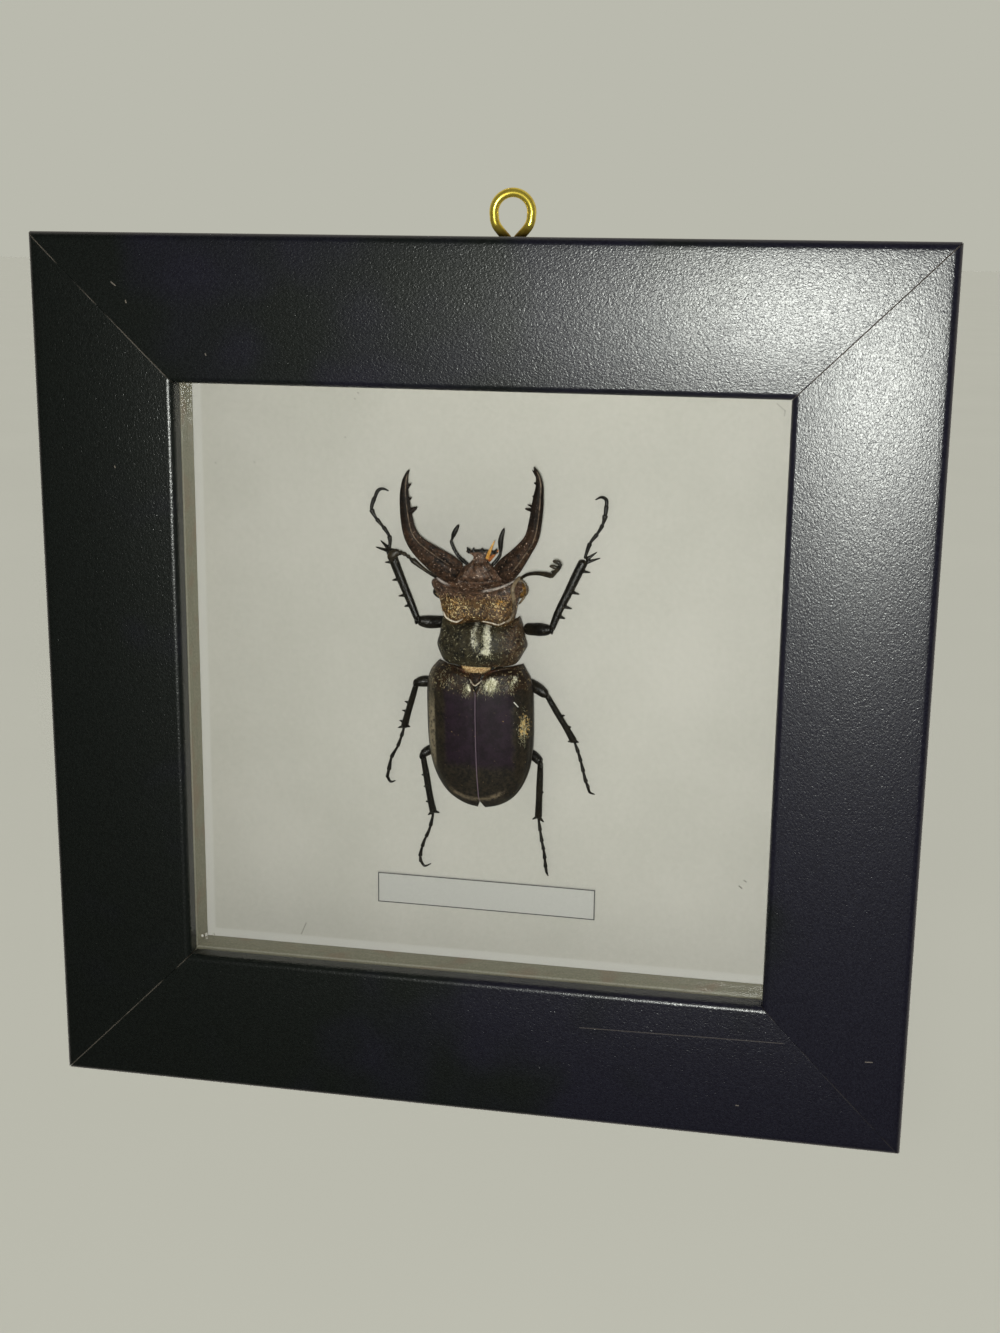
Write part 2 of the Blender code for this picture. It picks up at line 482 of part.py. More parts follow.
def make_leg(name, leg, look):
    """Thigh, shin, beaded foot, claw and spines, grown together."""
    foot = smooth(leg["foot"], 13)
    foot[1::3, 3] *= 0.7
    foot[0, 3] = foot[1, 3]
    pieces = [
        tube("thigh", leg["thigh"], 6, 8, 0.85), tube("shin", leg["shin"], 6, 8, 0.8),
        tube("foot", foot, 13, 6), tube("claw", leg["claw"], 5, 5),
    ]
    for (x, z), (tip_x, tip_z) in leg["spines"]:
        height = shin_height(leg["shin"], z)
        pieces.append(spike((x, z, height), (tip_x, tip_z, height - 0.2), 0.42, 4))
    fuse(name, pieces, look)


def make_legs():
    black = material("leg_black", BEETLE_BLACK, 0.3)
    for name, leg in LEGS.items():
        make_leg(name, leg, black)


remove_everything()
make_frame()
make_box()
make_label()
make_hanging_eye()
make_wings_and_body()
make_scutellum()
make_pronotum()
make_jaws_and_antennae()
make_head()
make_legs()
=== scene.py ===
"""Looks of a framed stag beetle: black moulding, glass, board, label, brass eye and the dried beetle.

Lengths are in millimetres until mesh_of() turns them into metres. Left and right are as seen from the
front. A point on the beetle is given as x, z and its height over the board.
"""

import bmesh
import bpy
import numpy as np
from mathutils import Matrix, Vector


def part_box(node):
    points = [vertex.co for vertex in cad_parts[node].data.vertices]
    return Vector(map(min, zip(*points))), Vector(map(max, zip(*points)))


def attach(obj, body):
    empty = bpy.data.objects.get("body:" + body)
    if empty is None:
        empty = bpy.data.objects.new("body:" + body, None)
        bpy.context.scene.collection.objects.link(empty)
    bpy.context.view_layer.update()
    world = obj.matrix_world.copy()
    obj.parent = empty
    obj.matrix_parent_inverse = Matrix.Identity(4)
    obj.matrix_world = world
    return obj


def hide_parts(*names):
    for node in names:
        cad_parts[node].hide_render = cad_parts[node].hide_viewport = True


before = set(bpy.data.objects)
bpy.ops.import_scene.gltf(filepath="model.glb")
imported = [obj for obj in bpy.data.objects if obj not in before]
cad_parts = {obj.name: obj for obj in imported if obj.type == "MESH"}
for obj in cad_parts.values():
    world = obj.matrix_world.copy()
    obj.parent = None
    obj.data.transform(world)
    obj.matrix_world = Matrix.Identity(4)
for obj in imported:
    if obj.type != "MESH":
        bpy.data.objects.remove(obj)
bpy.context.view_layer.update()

MM = 0.001
HALF_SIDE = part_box("rail_top")[1].z / MM
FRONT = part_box("rail_top")[0].y / MM
BOARD_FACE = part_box("mount_board")[0].y / MM
PANEL_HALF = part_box("back_panel")[1].x / MM
RING_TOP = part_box("hanging_screw_eye")[1].z / MM

# Moulding
RAIL_WIDTH = 30.7
FACE_SLOPE = 1.1
FACE_BULGE = 0.3
OUTER_ROUND = 1.6
INNER_ROUND = 1.6
LIP_BACK = 5.3
RABBET_FROM_EDGE = 24.6
MITRE_GAP = 0.05
MITRE_BEVEL = 0.14

# Small marks on the board: ends as x and z, and strength
BOARD_MARK_WIDTH = 0.24
BOARD_MARKS = (
    ((-43, -62.3), (-44.2, -65.1), 0.5), ((57.4, -44.6), (58, -45.1), 0.9),
    ((58.4, -43.2), (58.9, -43.5), 0.7), ((60.7, 61.9), (62.4, 60.5), 0.3),
    ((62.4, 60.5), (62.3, 59.5), 0.3), ((-29.5, 61.7), (-29.4, 61.6), 0.5),
    ((-30.2, 60.4), (-30.1, 60.3), 0.4), ((-32.5, 52), (-32.4, 51.9), 0.4),
    ((-62.5, 45.3), (-62.4, 45.2), 0.4), ((-53.4, 45.8), (-53.3, 45.7), 0.4),
)

# Scratches and lint on the front: ends as x and z, and strength
MARK_WIDTH = 0.2
MARKS_ACROSS = (
    ((-76.6, 84.9), (-75.7, 84.2), 0.5), ((-73.6, 81.2), (-73.5, 80.7), 0.5),
    ((-56.6, 70.6), (-56.5, 70.3), 0.5), ((25.4, -72.6), (69.2, -71.8), 0.13),
    ((59.9, -87), (60.4, -87), 0.4),
)
MARKS_UPRIGHT = (
    ((86.6, -74), (88, -73.9), 0.4), ((81.4, -86.6), (82, -86.6), 0.4), ((-77.5, 46.5), (-77.4, 46.2), 0.5),
    ((-77, 79), (-76.8, 78.6), 0.5),
)

SIDES = ("top", "right", "bottom", "left")
LINING_INSIDE = 67.35
LINING_FRONT = -18.9
TAPE_HALF_WIDTH = 11

# Glue in the lower left corner: x, z, height over the board and radius
CRUMBS = ((-67.2, -67.1, 2.2, 0.5), (-66.6, -67.2, 3.6, 0.42), (-67.2, -66.4, 4.6, 0.36),
          (-65.6, -67.2, 1.6, 0.3))

# Label: middle, half size, tilt down to the right and thickness
LABEL_MIDDLE = (0, -51.6)
LABEL_HALF = (25.33, 3.65)
LABEL_TILT = 0.004
LABEL_THICKNESS = 0.22

# Hanging eye: its post is a list of z, and its foot is distances left of and below the ring's middle
EYE_X = 4.2
EYE_Y = -7
EYE_RADIUS = 4
EYE_WIRE = 0.98
EYE_POST = (86.6, 90, 92.5, 95)
EYE_POST_RADIUS = 0.83
EYE_FOOT = ((3.85, 1.6), (3.45, 2.7), (2.75, 3.65), (1.9, 4.6), (1.1, 5.5), (0.75, 6.6), (0.6, 9))

# Beetle
NUDGE_X = 0.27
NUDGE_Z = 0.25
WING_LENGTH = 33
WING_BASE = (-1, 4)
WING_LEAN = 0.0245
WING_HALF_WIDTH = 11.9
WING_THICKNESS = 0.9
WING_MARGIN = 5.2
WING_TOP = 11.3
PRONOTUM_MARGIN = 5.6
HEAD_MARGIN = 6.3
FOOT_JOINTS = 5

# Camera and floor, in metres
LENS = 48.045
CAMERA_PLACE = (
    (0.98077, -0.05673, 0.18673, 0.07632),
    (0.19481, 0.22792, -0.95399, -0.38219),
    (0.01156, 0.97203, 0.23459, 0.09488),
    (0, 0, 0, 1),
)
FLOOR_LEVEL = -0.5
FLOOR_REACH = 40


def curve(rows, count):
    """Points on a smooth Catmull-Rom curve through the given rows, at even steps of row number."""
    rows = np.asarray(rows, float)
    padded = np.vstack([2 * rows[0] - rows[1], rows, 2 * rows[-1] - rows[-2]])
    at = np.linspace(0, len(rows) - 1, count)
    k = np.minimum(at.astype(int), len(rows) - 2)
    t = (at - k)[:, None]
    a, b, c, d = (padded[k + i] for i in range(4))
    return 0.5 * (2 * b + (c - a) * t + (2 * a - 5 * b + 4 * c - d) * t**2 + (3 * b - a - 3 * c + d) * t**3)


def place(x, z, height):
    """A point of the beetle in the frame's axes, nudged to where the closely fitted camera shows it."""
    x, z, height = np.broadcast_arrays(x, z, height)
    return np.stack([x + NUDGE_X, BOARD_FACE - height, z * 0.995 + NUDGE_Z], -1)


def hill(value, middle, width):
    """A bell curve: 1 at the middle, and 1 / e at a width from it."""
    return np.exp(-(((value - middle) / width) ** 2))


def knoll(x, z, at_x, wide_x, at_z, wide_z):
    """A bell curve across times a bell curve along."""
    return hill(x, at_x, wide_x) * hill(z, at_z, wide_z)


def rise(value, low, high):
    """A smooth step from 0 at low to 1 at high."""
    t = np.clip((value - low) / (high - low), 0, 1)
    return t * t * (3 - 2 * t)


def ripple(a, b, seed):
    """Uneven ground from -1 to 1: six crossed sine waves whose turns and phases are drawn from a seed."""
    draw = np.random.default_rng(seed)
    total = 0
    for _ in range(6):
        turn, phase, pitch = draw.uniform(0, np.pi), draw.uniform(0, 6.3), draw.uniform(0.7, 1.6)
        total = total + np.sin(pitch * (a * np.cos(turn) + b * np.sin(turn)) + phase)
    return total / 6


def closed_form(rings):
    """Quads between neighbouring rings of points, and a triangle fan over each end ring about its middle."""
    rows, sides = rings.shape[:2]
    here = np.arange(rows * sides).reshape(rows, sides)
    beside = np.roll(here, -1, 1)
    quads = np.stack([here[:-1], beside[:-1], beside[1:], here[1:]], -1).reshape(-1, 4)
    points = np.concatenate([rings.reshape(-1, 3), rings[0].mean(0)[None], rings[-1].mean(0)[None]])
    first = np.stack([beside[0], here[0], np.full(sides, rows * sides)], -1)
    last = np.stack([here[-1], beside[-1], np.full(sides, rows * sides + 1)], -1)
    return points, quads, np.concatenate([first, last])


def together(forms):
    """Several forms as one list of points and faces, with each form's numbers moved past those before it."""
    starts = np.cumsum([0] + [len(points) for points, _, _ in forms[:-1]])
    quads = [form[1] + start for form, start in zip(forms, starts)]
    triangles = [form[2] + start for form, start in zip(forms, starts)]
    return np.concatenate([form[0] for form in forms]), np.concatenate(quads), np.concatenate(triangles)


def turned(points, quarters):
    """Points turned about the y axis by a number of quarter turns."""
    cosine, sine = ((1, 0), (0, 1), (-1, 0), (0, -1))[quarters]
    return points @ np.array([(cosine, 0, sine), (0, 1, 0), (-sine, 0, cosine)]).T


def mesh_of(name, forms, unit=MM, sharp=None):
    """A smooth-shaded mesh of closed forms, faces outwards, its edges sharp from an angle in degrees up."""
    points, quads, triangles = together(forms)
    mesh = bpy.data.meshes.new(name)
    mesh.from_pydata((points * unit).tolist(), [], quads.tolist() + triangles.tolist())
    shape = bmesh.new()
    shape.from_mesh(mesh)
    bmesh.ops.recalc_face_normals(shape, faces=shape.faces)
    shape.to_mesh(mesh)
    shape.free()
    mesh.shade_smooth()
    if sharp:
        mesh.set_sharp_from_angle(angle=np.radians(sharp))
    return mesh


def grown_mesh(name, forms, voxel, rounds):
    """Overlapping forms grown into one skin: voxels over their union, relaxed, worked out in millimetres."""
    rough = mesh_of(name, forms, 1)
    lump = bpy.data.objects.new(name, rough)
    bpy.context.scene.collection.objects.link(lump)
    skin = lump.modifiers.new("skin", 'REMESH')
    skin.mode = 'VOXEL'
    skin.voxel_size = voxel
    skin.use_smooth_shade = True
    relax = lump.modifiers.new("relax", 'SMOOTH')
    relax.factor = 0.5
    relax.iterations = rounds
    graph = bpy.context.evaluated_depsgraph_get()
    mesh = bpy.data.meshes.new_from_object(lump.evaluated_get(graph))
    bpy.data.objects.remove(lump, do_unlink=True)
    bpy.data.meshes.remove(rough)
    mesh.transform(Matrix.Scale(MM, 4))
    mesh.name = name
    mesh.materials.clear()
    return mesh


def show(mesh, look, slot, *nodes):
    """Adds a mesh as a piece of the object, with its finish, and hides the CAD nodes it stands for. The
    record slot is not used.
    """
    mesh.materials.append(look)
    made = bpy.data.objects.new(mesh.name, mesh)
    bpy.context.scene.collection.objects.link(made)
    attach(made, "root")
    if nodes:
        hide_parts(*nodes)


def limb_rings(rows, count, sides=16, flat=1, ends=0.08, section=None, width=None):
    """Rings square to a path of x, z, height and radius, shrunk at each end along a quarter circle.

    flat is the thickness over the width. section is a factor on the radius by the angle round the ring, 0
    on the right of the path as it runs and a quarter turn on top. width is a factor on the radius by the
    share of the path.
    """
    rows = curve(rows, count)
    path = place(rows[:, 0], rows[:, 1], rows[:, 2])
    along = np.gradient(path, axis=0)
    along /= np.linalg.norm(along, axis=1, keepdims=True)
    sideways = np.cross(along, (0, -1, 0))
    sideways /= np.linalg.norm(sideways, axis=1, keepdims=True)
    upward = np.cross(sideways, along)
    share = np.linspace(0, 1, count)
    near_end = np.clip(np.minimum(share, 1 - share) / ends, 0, 1)
    radius = rows[:, 3] * np.sqrt(np.maximum(1 - (1 - near_end) ** 2, 0.01))
    if width is not None:
        radius = radius * width(share)
    angle = np.arange(sides) * 2 * np.pi / sides
    reach = radius[:, None] * (np.ones(sides) if section is None else section(angle))
    across = (reach * np.cos(angle))[..., None] * sideways[:, None]
    return path[:, None] + across + (reach * flat * np.sin(angle))[..., None] * upward[:, None]


def limb(rows, count, **settings):
    """A closed form of limb_rings()."""
    return closed_form(limb_rings(rows, count, **settings))


def thorn(root, tip, radius):
    """A tooth or spine that narrows from its root to a blunt point."""
    root, tip = np.array(root), np.array(tip)
    rows = [(*root, radius), (*(root * 0.45 + tip * 0.55), radius * 0.6), (*tip, radius * 0.22)]
    return limb(rows, 9, sides=8, ends=0.12)


def body_rings(rows, margin, count, sides, boxy):
    """Rings along the body from rows of z, middle x, half width, top and underside.

    Each ring is widest at the margin's height. Round it the height is the sine to the power boxy, scaled to
    the top above the margin and to the underside below it. Returned with them is each point's share of the
    rise over the margin.
    """
    rows = curve(rows, count)
    z, middle, half, top, under = (rows[:, i][:, None] for i in range(5))
    angle = np.arange(sides) * 2 * np.pi / sides
    lift = np.sign(np.sin(angle)) * np.abs(np.sin(angle)) ** boxy
    height = margin + np.where(lift > 0, (top - margin) * lift, (margin - under) * lift)
    return place(middle + half * np.cos(angle), z + 0 * angle, height), np.maximum(lift, 0)


# Shader sums

class Field:
    """A value that varies over a surface: one socket of a node tree, which sums with numbers."""

    def __init__(self, tree, socket):
        self.tree = tree
        self.socket = socket

    def add(self, kind, settings=None, inputs=None, output=0):
        """Any node: its settings first, then the values or links of its sockets, by name or number."""
        node = self.tree.nodes.new(kind)
        for name, value in (settings or {}).items():
            setattr(node, name, value)
        for name, value in (inputs or {}).items():
            if isinstance(value, Field):
                self.tree.links.new(value.socket, node.inputs[name])
            else:
                node.inputs[name].default_value = value
        return Field(self.tree, node.outputs[output])

    def sum_of(self, operation, *values):
        """A Math node on these values."""
        return self.add("ShaderNodeMath", {"operation": operation}, dict(enumerate(values)))

    def __add__(self, other):
        return self.sum_of('ADD', self, other)

    __radd__ = __add__

    def __sub__(self, other):
        return self.sum_of('SUBTRACT', self, other)

    def __rsub__(self, other):
        return self.sum_of('SUBTRACT', other, self)

    def __mul__(self, other):
        return self.sum_of('MULTIPLY', self, other)

    __rmul__ = __mul__

    def __truediv__(self, other):
        return self.sum_of('DIVIDE', self, other)

    def __abs__(self):
        return self.sum_of('ABSOLUTE', self)

    def step(self, low, high):
        """A smooth step from 0 at low to 1 at high."""
        values = {"Value": self, "From Min": low, "From Max": high}
        return self.add("ShaderNodeMapRange", {"interpolation_type": 'SMOOTHSTEP'}, values)

    def bell(self, middle, width):
        """1 at the middle, falling smoothly to 0 at a width on either side."""
        return 1 - abs(self - middle).step(0, width)

    def blend(self, first, second):
        """The first colour where this is 0, the second where it is 1: each a field or a screen colour."""
        pair = [colour if isinstance(colour, Field) else tone(*colour) for colour in (first, second)]
        return self.add("ShaderNodeMix", {"data_type": 'RGBA'}, {0: self, 6: pair[0], 7: pair[1]}, 2)

    def noise(self, per_mm, detail=3, rough=0.55, warp=0):
        """Cloudy noise about 0.5 at a place, with this many waves a millimetre."""
        values = {"Vector": self, "Scale": per_mm, "Detail": detail, "Roughness": rough, "Distortion": warp}
        return self.add("ShaderNodeTexNoise", None, values)

    def cells(self, per_mm):
        """Distance to the nearest of many scattered points at a place."""
        return self.add("ShaderNodeTexVoronoi", None, {"Vector": self, "Scale": per_mm})

    def stretched(self, x, y, z):
        """This place with its axes scaled, so that a pattern on it is squeezed or drawn out."""
        return self.add("ShaderNodeVectorMath", {"operation": 'MULTIPLY'}, {0: self, 1: (x, y, z)})

    def parts(self):
        """The x, y and z of a place as three values."""
        split = self.add("ShaderNodeSeparateXYZ", None, {0: self}).socket.node
        return [Field(self.tree, socket) for socket in split.outputs]

    def bump(self, distance):
        """The surface's normal, as if it stood out by this height times a distance in millimetres."""
        return self.add("ShaderNodeBump", None, {"Strength": 1, "Distance": distance * MM, "Height": self})


def tone(red, green, blue):
    """A screen colour from 0 to 255 as linear light."""
    share = np.array([red, green, blue]) / 255
    light = np.where(share <= 0.04045, share / 12.92, ((share + 0.055) / 1.055) ** 2.4)
    return (*light.tolist(), 1)


def finish(name, **sockets):
    """A material of one Principled shader with fixed values on its sockets, and a place in millimetres.

    Sockets are named with _ for a space, here and in wire().
    """
    look = bpy.data.materials.new(name)
    look.use_nodes = True
    tree = look.node_tree
    for socket, value in sockets.items():
        tree.nodes["Principled BSDF"].inputs[socket.replace("_", " ")].default_value = value
    coordinates = tree.nodes.new("ShaderNodeTexCoord")
    return look, Field(tree, coordinates.outputs["Object"]).stretched(1 / MM, 1 / MM, 1 / MM)


def wire(look, **fields):
    """Links fields to the sockets of a material's shader, and returns the material."""
    shader = look.node_tree.nodes["Principled BSDF"]
    for name, field in fields.items():
        field.tree.links.new(field.socket, shader.inputs[name.replace("_", " ")])
    return look


def near_line(x, z, start, end, width):
    """1 on a straight stretch between two points, falling to 0 at a width from it."""
    run, climb = end[0] - start[0], end[1] - start[1]
    length = (run * run + climb * climb) ** 0.5
    along = ((x - start[0]) * run + (z - start[1]) * climb) / length
    aside = ((x - start[0]) * climb - (z - start[1]) * run) / length
    return aside.bell(0, width) * along.step(-width, 0) * (1 - along.step(length, length + width))


def spot(x, z, at_x, wide_x, at_z, wide_z):
    """A soft patch on a surface: a bell across times a bell along."""
    return x.bell(at_x, wide_x) * z.bell(at_z, wide_z)


def moulding_finish(name, x, z, marks):
    """Satin black foil with a fine worm-like grain, pale lines along the mitres and bare fibreboard behind.

    The black turns from green on the left to violet on the right. The mitre lines are faint at the lower
    right.
    marks are pale scratches, each as two points and a strength.
    """
    look, point = finish(name, Specular_IOR_Level=0.6)
    across, depth, up = point.parts()
    grain = point.stretched(x, 1, z).noise(2.7, 1, 0.5, 0.8)
    cloud = (point.noise(0.03, 2) + across * 0.0025).step(0.36, 0.6)
    black = cloud.blend((10, 15, 12), (17, 16, 28))
    black = grain.step(0.35, 0.65).blend(black, cloud.blend((17, 22, 19), (24, 24, 36)))
    from_mitre = abs(abs(across) - abs(up))
    closed = 1 - 0.8 * (across - up).step(80, 120)
    pale_marks = (1 - from_mitre.step(0.06, 0.2)) * point.noise(0.12, 2).step(0.36, 0.5) * 0.4 * closed
    for start, end, strength in marks:
        pale_marks = pale_marks.sum_of('MAXIMUM', pale_marks, strength * near_line(across, up, start, end, MARK_WIDTH))
    fibre = point.noise(1.3, 5, 0.7).blend((120, 92, 62), (160, 130, 92))
    back = depth.step(-0.35, -0.15)
    return wire(look, Base_Color=back.blend(pale_marks.blend(black, (170, 160, 146)), fibre),
                Roughness=0.27 + 0.06 * grain + back * 0.4, Normal=grain.bump(0.05))


def glass_finish():
    """Clear pane: its mirrored share is 0.034 straight on and rises with the slant's fifth power to 1."""
    look = bpy.data.materials.new("glass_clear")
    look.use_nodes = True
    tree = look.node_tree
    tree.nodes.clear()
    start = Field(tree, None)
    clear = start.add("ShaderNodeBsdfTransparent", None, {"Color": (0.985, 0.985, 0.985, 1)})
    gloss = start.add("ShaderNodeBsdfGlossy", None, {"Color": (0.9, 0.9, 0.9, 1), "Roughness": 0.03})
    slant = start.add("ShaderNodeLayerWeight", None, {"Blend": 0.5}, 1)
    share = 0.034 + 0.966 * slant.sum_of('POWER', slant, 5)
    mixed = start.add("ShaderNodeMixShader", None, {0: share, 1: clear, 2: gloss})
    out = tree.nodes.new("ShaderNodeOutputMaterial")
    tree.links.new(mixed.socket, out.inputs["Surface"])
    return look


def lining_finish():
    """The box's side lining: grey-green card with pores and scuffs, pale at its front edge and one line."""
    look, point = finish("lining_card", Roughness=0.7)
    depth = point.parts()[1]
    pores = point.noise(2.2, 4, 0.7)
    scuff = point.stretched(0.25, 3, 0.25).noise(1, 3, 0.6)
    card = (pores * 0.7 + scuff * 0.3).step(0.3, 0.7).blend((128, 128, 110), (164, 161, 142))
    card = (point.noise(0.12, 2).step(0.5, 0.7) * 0.5).blend(card, (150, 128, 110))
    pale = scuff.step(0.3, 0.7).blend((160, 162, 154), (214, 214, 206))
    card = (depth.bell(-13.3, 0.8) * pores.step(0.3, 0.5) * 0.6).blend(card, (206, 204, 190))
    return wire(look, Base_Color=depth.step(-17.7, -17.3).blend(pale, card), Normal=pores.bump(0.05))


def board_finish():
    """White paper with faint cloud and fibre, a paler strip along the edges and a few small grey marks."""
    look, point = finish("board_paper", Roughness=0.85, Specular_IOR_Level=0.3)
    x, _, z = point.parts()
    fibre = point.noise(0.8, 5, 0.8)
    cloud = point.noise(0.035, 2)
    paper = (fibre * 0.5 + cloud * 0.5).step(0.25, 0.75).blend((196, 196, 185), (209, 208, 198))
    margin = abs(x).sum_of('MAXIMUM', abs(x), abs(z)).step(65.1, 65.8)
    shade = margin.blend(paper, (211, 211, 203))
    for start, end, strength in BOARD_MARKS:
        shade = (near_line(x, z, start, end, BOARD_MARK_WIDTH) * strength).blend(shade, (84, 80, 70))
    return wire(look, Base_Color=shade, Normal=fibre.bump(0.02))


def label_finish():
    """Bluish-grey paper strip, bare, with a thin dark line along its edge."""
    look, point = finish("label_paper", Roughness=0.8, Specular_IOR_Level=0.3)
    x, _, z = point.parts()
    x, z = x - LABEL_MIDDLE[0], z - LABEL_MIDDLE[1] + LABEL_TILT * (x - LABEL_MIDDLE[0])
    in_x, in_z = LABEL_HALF[0] - abs(x), LABEL_HALF[1] - abs(z)
    inset = in_x.sum_of('MINIMUM', in_x, in_z)
    line = inset.step(0.02, 0.06) * (1 - inset.step(0.24, 0.32))
    fibre = point.noise(1.4, 4)
    paper = fibre.blend((195, 196, 189), (205, 206, 199))
    return wire(look, Base_Color=line.blend(paper, (84, 84, 80)), Normal=fibre.bump(0.015))


def fibreboard_finish():
    """Brown hardboard with short fibres and a mottled face."""
    look, point = finish("back_hardboard", Roughness=0.8)
    fibre = point.stretched(1, 1, 0.35).noise(1.8, 5, 0.7)
    cloud = point.noise(0.05, 3)
    brown = (fibre * 0.6 + cloud * 0.4).blend((104, 74, 48), (150, 114, 78))
    return wire(look, Base_Color=brown, Normal=fibre.bump(0.06))


def tape_finish():
    """Gummed brown paper tape with long fibres and slight puckers."""
    look, point = finish("kraft_tape", Roughness=0.62)
    fibre = point.stretched(0.4, 1, 1).noise(1.6, 4)
    pucker = point.noise(0.22, 2)
    return wire(look, Base_Color=fibre.blend((150, 112, 70), (178, 140, 94)),
                Normal=(pucker * 4 + fibre * 0.4).bump(0.05))


def brass_finish():
    """Bright yellow brass with faint drawing lines and a little tarnish, and painted shadow: dark brown low
    down where it enters the rail.
    """
    look, point = finish("brass_bright", Metallic=0.8)
    tarnish = point.noise(0.9, 4).step(0.45, 0.8)
    lines = point.stretched(3, 3, 0.6).noise(2, 2)
    bright = tarnish.blend((250, 226, 96), (214, 176, 66))
    # painted shadow: the wire turns dark brown below 97.6 mm, where the rail's front shades it
    low = (1 - point.parts()[2].step(95.4, 97.6)) * 0.8
    return wire(look, Base_Color=low.blend(bright, (92, 58, 18)),
                Roughness=0.28 + 0.1 * tarnish, Normal=lines.bump(0.003))


def shell_finish(name, dark, light, roughness, grain, depth, coat=0.1, glint_tone=None, flecks=0.6,
                 fade=None, gloss=0.28):
    """Insect shell: two tones in grains and clouds, a relief that breaks up the gloss, and bright flecks of
    painted glint.

    fade is a stretch of z over which the shell turns dark.
    """
    look, point = finish(name, Coat_Roughness=0.25, Coat_Weight=coat, Specular_IOR_Level=gloss)
    cloud = point.noise(0.35, 3)
    fine = point.noise(grain, 4, 0.7)
    height = point.cells(grain * 1.2).step(0, 0.6) * 0.5 + fine * 0.8
    shade = (cloud * 0.4 + fine * 0.6).step(0.38, 0.62).blend(dark, light)
    # painted glints: pale flecks in the glint tone stand in for highlights off the pits
    if glint_tone:
        shade = point.noise(2.1, 2, 0.8).step(flecks, flecks + 0.1).blend(shade, glint_tone)
    if fade:
        shade = (point.parts()[2].step(*fade) * 0.85).blend(shade, dark)
    return wire(look, Base_Color=shade, Roughness=roughness + 0.15 * fine, Normal=height.bump(depth))


def wing_finish():
    """Wing case: violet brown in the middle, olive at the sides and tip, dark bronze at the base.

    On that lie a painted silvery sheen, brushed, beside the shield and at the right shoulder, gold flecks at
    the right side, a painted sheen along the left margin, a pale band before the tip, the thin pale seam and
    one short scratch.
    """
    look, point = finish("wing_shell", Specular_IOR_Level=0.28)
    x, _, z = point.parts()
    middle = WING_BASE[0] + NUDGE_X + WING_LEAN * (WING_BASE[1] - z)
    across = abs(x - middle)
    cloud = point.noise(0.4, 4, 0.65)
    fine = point.noise(1.3, 4, 0.75)
    sparse = point.noise(1.9, 2, 0.8).step(0.6, 0.7)
    violet = (cloud * 0.5 + fine * 0.5).step(0.38, 0.62).blend((20, 7, 17), (37, 21, 35))
    side = (fine * 0.7 + cloud * 0.3).step(0.38, 0.64).blend((13, 10, 6), (50, 43, 30))
    base = (fine * 0.7 + cloud * 0.3).step(0.4, 0.68).blend((18, 11, 5), (62, 42, 22))
    base = (sparse * 0.8).blend(base, (206, 190, 144))
    edge = (across + cloud * 2.4 - 0.9 * x.step(-1, 1)).step(7.6, 9)
    tip = 1 - (z + cloud * 4).step(-17, -14.8)
    front = (z + cloud * 3 - across * 0.12).step(-1.6, 0.6)
    shade = front.blend(edge.sum_of('MAXIMUM', edge, tip).blend(violet, side), base)
    # painted sheen: a pale stripe along the left margin, the light on its rim bead
    margin_sheen = across.step(9.2, 9.9) * (1 - across.step(11, 11.7)) * (1 - x.step(-9, -8))
    margin_sheen = margin_sheen * fine.step(0.3, 0.6) * z.step(-22, -14) * (1 - 0.7 * z.step(-7, -2))
    shade = margin_sheen.blend(shade, (142, 131, 106))
    band = (z + 26 - 0.055 * (x + 0.6) * (x + 0.6)).bell(0, 1) * fine.step(0.3, 0.6)
    band = band * (1 - abs(x + 0.6).step(4.5, 7)) * 0.6
    shade = band.blend(shade, (146, 130, 104))
    # painted sheen: brushed silvery patches beside the shield and at the right shoulder, the shine of the
    # hair there
    brushed = point.stretched(1, 1, 0.35).noise(2.6, 3, 0.7)
    right, up = x - 2.7 + (cloud - 0.5) * 2.4, z - 0.7
    sheen = (right * 0.7 + up * 0.7).bell(0, 3) * (right * 0.7 - up * 0.7).bell(0, 2.1)
    second = (x - 7.8 + (cloud - 0.5) * 2).bell(0, 1.1) * (z - 1.7).bell(0, 1.9)
    left = (x + 2.1 + (z + 0.3) * 0.35).bell(0, 0.9) * (z + 0.3).bell(0, 1.7)
    silver = (1.1 * sheen + 0.65 * second + 0.8 * left + brushed * 1.1).step(0.92, 1.3)
    shade = silver.blend(shade, brushed.step(0.35, 0.6).blend((176, 172, 126), (250, 248, 222)))
    gold = spot(x, z, 9.8, 2, -8.6, 5.4)
    fleck = point.noise(1.7, 2, 0.8)
    shade = (gold * 0.3 + fleck).step(0.7, 0.84).blend(shade, (214, 180, 110))
    scratch = near_line(x, z, (7.8, -3.1), (8.6, -4.1), 0.17) * 0.85
    shade = scratch.blend(shade, (240, 240, 228))
    seam = (1 - (across - 0.03).step(0, 0.13)) * (1 - z.step(-1.5, 0))
    hollow = (z - 1.9 - 0.1 * (x + 0.8) * (x + 0.8)).step(-0.2, 0.3) * (1 - abs(x + 0.8).step(4.6, 5.6))
    shade = hollow.blend(shade, fine.step(0.36, 0.64).blend((44, 22, 12), (96, 60, 36)))
    rough = front.sum_of('MAXIMUM', edge, front)
    return wire(look, Base_Color=(seam * 0.75).blend(shade, (132, 116, 128)),
                Roughness=0.58 - 0.2 * rough + 0.1 * fine, Normal=(fine * 0.3 + fine * rough).bump(0.06))


